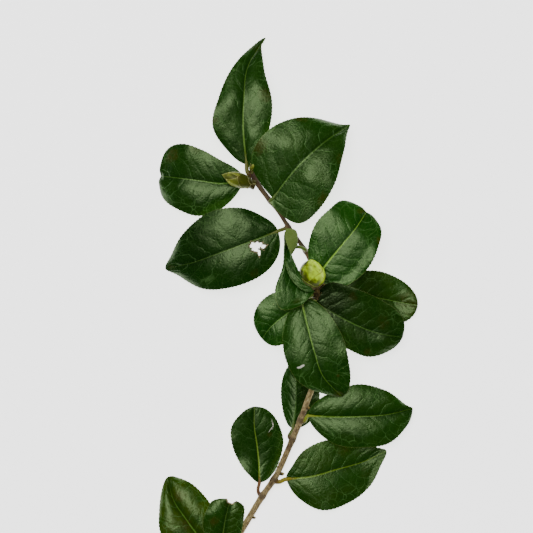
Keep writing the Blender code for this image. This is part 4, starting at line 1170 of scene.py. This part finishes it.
def budTree():
    sizes = budMesh
    kinds = {"Scales": "Int", "Painted light side": "Vector"}
    tree, put, given, keys = newTree("budScales", {
        **{label: kinds.get(label, "Float") for label in budInputs}, "Material": "Material"})

    # the egg's radius at s from foot 0 to tip 1
    def egg(s):
        late = put(*straight, [s, 0.5, 1.0, 0.62, given["Blunt"]])
        body = chain(
            put, s, (power, given["Fullness"]), (multiply, pi), (sine,),
            (maximum, 0.0), (power, late), (multiply, given["Radius"]))
        rest = put(*subtract, [1.0, s])
        rest = chain(put, rest, (power, 2.0), (multiplyAdd, given["Stalk"], 0.2))
        return put(*maximum, [body, rest])

    def placed(angle, radius, s):
        x, y = [chain(put, angle, (wave,), (multiply, radius)) for wave in (cosine, sine)]
        z = put(*multiply, [s, given["Length"]])
        return put(combineNode, {}, [x, y, z])

    # the scales: grids numbered from the outermost, each bent over its share of the egg
    grid = put("GeometryNodeMeshGrid", {}, [2.0, 1.0, *sizes["scale"]])
    spots = put("GeometryNodePoints", {}, {"Count": given["Scales"]})
    copies = put("GeometryNodeInstanceOnPoints", {}, {"Points": spots, "Instance": grid})
    number = put("GeometryNodeInputIndex", {}, [])
    copies = put(storeNode, {"data_type": "FLOAT", "domain": "INSTANCE"}, {
        "Geometry": copies, "Name": "order", "Value": number})
    sheets = put("GeometryNodeRealizeInstances", {}, [copies])
    order = put(fieldNode, {"data_type": "FLOAT"}, {"Name": "order"})
    last = put(*subtract, [given["Scales"], 1.0])
    part = put(*divide, [order, last])
    where = put(placeNode, {}, [])
    parts = put(splitNode, {}, [where]).node
    p = parts.outputs[0]
    b = put(*add, [parts.outputs[1], 0.5])
    tipAt = put(*straight, [part, 0.0, 1.0, given["First tip"], 1.0])
    s = put(*multiply, [b, tipAt])
    q = chain(put, b, (straight, 0.35, 1.0, 0.0, 1.0), (power, 2.0))
    q = put(*subtract, [1.0, q])
    wide = chain(put, q, (power, given["Roundness"]), (multiply, given["Spread"]))
    turn = put(*multiplyAdd, [order, given["Turn"], given["Start"]])
    angle = put(*multiplyAdd, [p, wide, turn])
    outer = put(*subtract, [1.0, part])
    layer = chain(put, outer, (multiply, last), (multiply, given["Layer"]))
    flare = chain(
        put, b, (power, 6.0), (multiply, given["Lift"]), (multiply, outer))
    radius = chain(put, egg(s), (add, layer), (add, flare))
    across = put(*absolute, [p])
    rim = put(*maximum, [across, b])
    for label, value in (("rim", rim), ("part", part), ("rise", s)):
        sheets = put(storeNode, pointFloat, {"Geometry": sheets, "Name": label, "Value": value})
    scales = put(moveNode, {}, {"Geometry": sheets, "Position": placed(angle, radius, s)})
    thickness = put(*multiply, [given["Layer"], sizes["wall"]])
    thick = put("GeometryNodeExtrudeMesh", {"mode": "FACES"}, {
        "Mesh": scales, "Offset Scale": thickness, "Individual": False})
    under = put("GeometryNodeFlipFaces", {}, [scales])
    both = put("GeometryNodeJoinGeometry", {}, [thick])
    tree.links.new(under, both.node.inputs[0])

    # the closed core inside them
    core = put("GeometryNodeMeshGrid", {}, [2.0, 1.0, *sizes["core"]])
    angle = put(*multiply, [p, pi])
    inside = put(*near, [b, 0.5, 0.499])
    radius = chain(put, egg(b), (multiply, sizes["coreFit"]), (multiply, inside))
    core = put(storeNode, pointFloat, {"Geometry": core, "Name": "rise", "Value": b})
    core = put(moveNode, {}, {"Geometry": core, "Position": placed(angle, radius, b)})
    tree.links.new(core, both.node.inputs[0])
    whole = put("GeometryNodeMergeByDistance", {}, {"Geometry": both, "Distance": sizes["merge"]})
    # how far each face turns towards the painted light side, for painted light and shade on the scales
    whole = storeFacing(put, whole, "sunny", given["Painted light side"])
    whole = put("GeometryNodeTransform", {}, {"Geometry": whole, "Scale": (mm, mm, mm)})
    endTree(put, whole, given["Material"])
    return tree, keys


scaleSkins = {
    # sepals of the flower bud: smooth and fleshy, yellow-green with a soft sheen
    "sepal": dict(
        name="fleshySepal", body="#d2fa2e", shade="#434e0a", fleck="#5c5210", foot="#7a5c44", rim="#ccd482",
        rimAmount=0.3, roughness=0.34),
    # scales of the leaf bud: tougher, olive with pale papery rims
    "oliveScale": dict(
        name="oliveBudScale", body="#a8b43c", shade="#464e12", fleck="#5e5820", foot="#3a2a10", rim="#cfcc82",
        rimAmount=0.9, roughness=0.42),
    # dry scales of the small buds: brown and matte
    "brownScale": dict(
        name="dryBudScale", body="#a08a4e", shade="#33240f", fleck="#4a3820", foot="#2c1c10", rim="#a8925a",
        rimAmount=0.7, roughness=0.65),
}


# A skin for bud scales: leathery, with a thin papery rim and a browner foot, painted light and shade by which
# way each face turns, and a painted shadow line inside each rim
def makeScaleSkin(s):
    material, put, shader = newMaterial(s["name"])
    rim, rise, part, sunny = [
        put(readNode, {"attribute_name": name}, [], out=2) for name in ("rim", "rise", "part", "sunny")]
    place = put("ShaderNodeTexCoord", {}, [], out=3)
    patches, streaks, ragged = [    # cycles a metre, detail and roughness
        put(noiseNode, {}, {"Vector": place, **dict(zip(noiseKeys, values))})
        for values in ((260.0, 4.0), (420.0, 5.0, 0.65), (900.0, 2.0))]
    # the shade colour: random patches, more towards the foot and on the outer scales, plus painted shade on
    # faces turned from the painted light side and painted light on faces turned to it
    patchesAndPaintedShade = patches
    for value, weight in ((rise, -0.4), (part, -0.3), (sunny, -0.4)):
        patchesAndPaintedShade = put(*multiplyAdd, [value, weight, patchesAndPaintedShade])
    patchesAndPaintedShade = put(*eased, [patchesAndPaintedShade, -0.35, 0.2, 0.0, 1.0])
    flecks = put(*eased, [streaks, 0.54, 0.7, 0.0, 0.7])
    low = put(*straight, [part, 0.0, 0.4, 1.0, 0.35])
    foot = chain(put, rise, (eased, 0.1, 0.36, 0.85, 0.0), (multiply, low))
    # a painted shadow line just inside each scale's edge, where it lies over the next scale
    paintedSeamShadow = chain(put, rim, (near, 0.93, 0.03), (multiply, patches))
    edge = chain(
        put, ragged, (multiplyAdd, 0.08, rim), (eased, 0.98, 1.03, 0.0, s["rimAmount"]))
    skin = colour(s["body"])
    for amount, name in ((patchesAndPaintedShade, "shade"), (flecks, "fleck"), (foot, "foot"), (paintedSeamShadow, "fleck"), (edge, "rim")):
        skin = put(*tinted, {0: amount, 6: skin, 7: colour(s[name])}, out=2)
    coverShader(put, shader, skin, ragged, 0.4, 0.08)
    shader.inputs["Roughness"].default_value = s["roughness"]
    shader.inputs["IOR"].default_value = 1.4
    shader.inputs["Specular Tint"].default_value = (0.9, 1.0, 0.55, 1.0)
    return material


def buildBuds():
    s = axilSettings
    skins = {name: makeScaleSkin(values) for name, values in scaleSkins.items()}
    tree, keys = budTree()
    buds = dict(budTable)
    for k, (point, length) in enumerate(s["buds"], 1):
        seat, out = stemLine.seat(point, -s["depth"])
        foot = seat + s["rise"] * length * out
        tip = foot + unit(out + s["lean"] * stemLine.tangents[stemLine.nearest(point)]) * length
        buds[f"axil_bud_{k}"] = dict(
            axilShape, foot=foot, tip=tip, radius=s["radius"] * length, stalk=s["stalk"] * length)
    buds["budStalk"] = budStalk
    for name, bud in buds.items():
        foot, tip = np.array(bud["foot"], float), np.array(bud["tip"], float)
        length = np.linalg.norm(tip - foot)
        way = unit(tip - foot)
        side = unit(np.cross((0.3, 0.2, 1.0), way))    # square to the bud, which never points that way
        up = np.cross(way, side)
        bud = {**budDefaults, **bud, "length": length}
        skin = skins[bud["skin"]]
        piece = newPiece(name + "Scales", [], [], [], {}, [skin])
        useTree(piece, tree, keys, {
            **{label: bud[value] for label, value in budInputs.items()}, "Material": skin})
        mesh = settle(piece)
        axes = np.column_stack([side, up, way])
        mesh.transform(Matrix([[*axes[i], toRow(foot)[i]] for i in range(3)] + [[0, 0, 0, 1]]))
        if bud["slot"]:
            finishPiece(piece, name, 35)
        else:
            mesh.shade_smooth()
            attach(piece, "root")
    print("buds built:", len(buds))


buildStem()
buildLeaves()
buildBuds()


# Floor, light and camera

stageSettings = {
    "floor": "#ffffff",
    "floorGlow": 2.2,
    "floorHalf": 6.0,       # m
    "lampHeight": 3.4,      # m above the floor
    "lamps": {"softbox": (2.2, 76.0), "scrim": (4.2, 44.0)},    # m across, W
    "lampShift": (-0.5, 0.75),
    "air": 0.05,
    "cameraAt": (186.55, 186.55),   # the sheet point under the middle of the picture
    "cameraHeight": 3.0,
    "viewWidth": 0.3731,    # m across the picture
    "viewLevel": 0.015,     # m above the floor, where it is that wide
    "sensor": 36.0,         # mm
}


def buildStage():
    s = stageSettings
    paper, _, shader = newMaterial("palePaperFloor")
    shader.inputs["Base Color"].default_value = colour(s["floor"])
    shader.inputs["Roughness"].default_value = 0.9
    shader.inputs["Emission Color"].default_value = (1.0, 1.0, 1.0, 1.0)
    shader.inputs["Emission Strength"].default_value = s["floorGlow"]
    half = s["floorHalf"]
    corners = [(-half, -half, 0), (half, -half, 0), (half, half, 0), (-half, half, 0)]
    floor = newPiece("floor", corners, [], [(0, 1, 2, 3)], {}, [paper])

    for name, (size, watts) in s["lamps"].items():
        lamp = bpy.data.lights.new(name, "AREA")
        lamp.shape, lamp.size, lamp.energy = "DISK", size, watts
        box = bpy.data.objects.new(name, lamp)
        box.location = (*s["lampShift"], s["lampHeight"])
        box.rotation_euler = Vector(box.location).to_track_quat("Z", "Y").to_euler()
        box.visible_camera = False
        bpy.context.scene.collection.objects.link(box)

    world = bpy.data.worlds.new("studio")
    world.use_nodes = True
    air = world.node_tree.nodes["Background"]
    air.inputs["Color"].default_value = (1.0, 1.0, 1.0, 1.0)
    air.inputs["Strength"].default_value = s["air"]
    bpy.context.scene.world = world

    lens = bpy.data.cameras.new("camera")
    lens.sensor_width = s["sensor"]
    lens.lens = s["sensor"] * (s["cameraHeight"] - s["viewLevel"]) / s["viewWidth"]
    camera = bpy.data.objects.new("camera", lens)
    x, y, _ = toRow((*s["cameraAt"], 0.0))
    camera.location = (x, y, s["cameraHeight"])
    bpy.context.scene.collection.objects.link(camera)
    bpy.context.scene.camera = camera
    print("stage set")


buildStage()
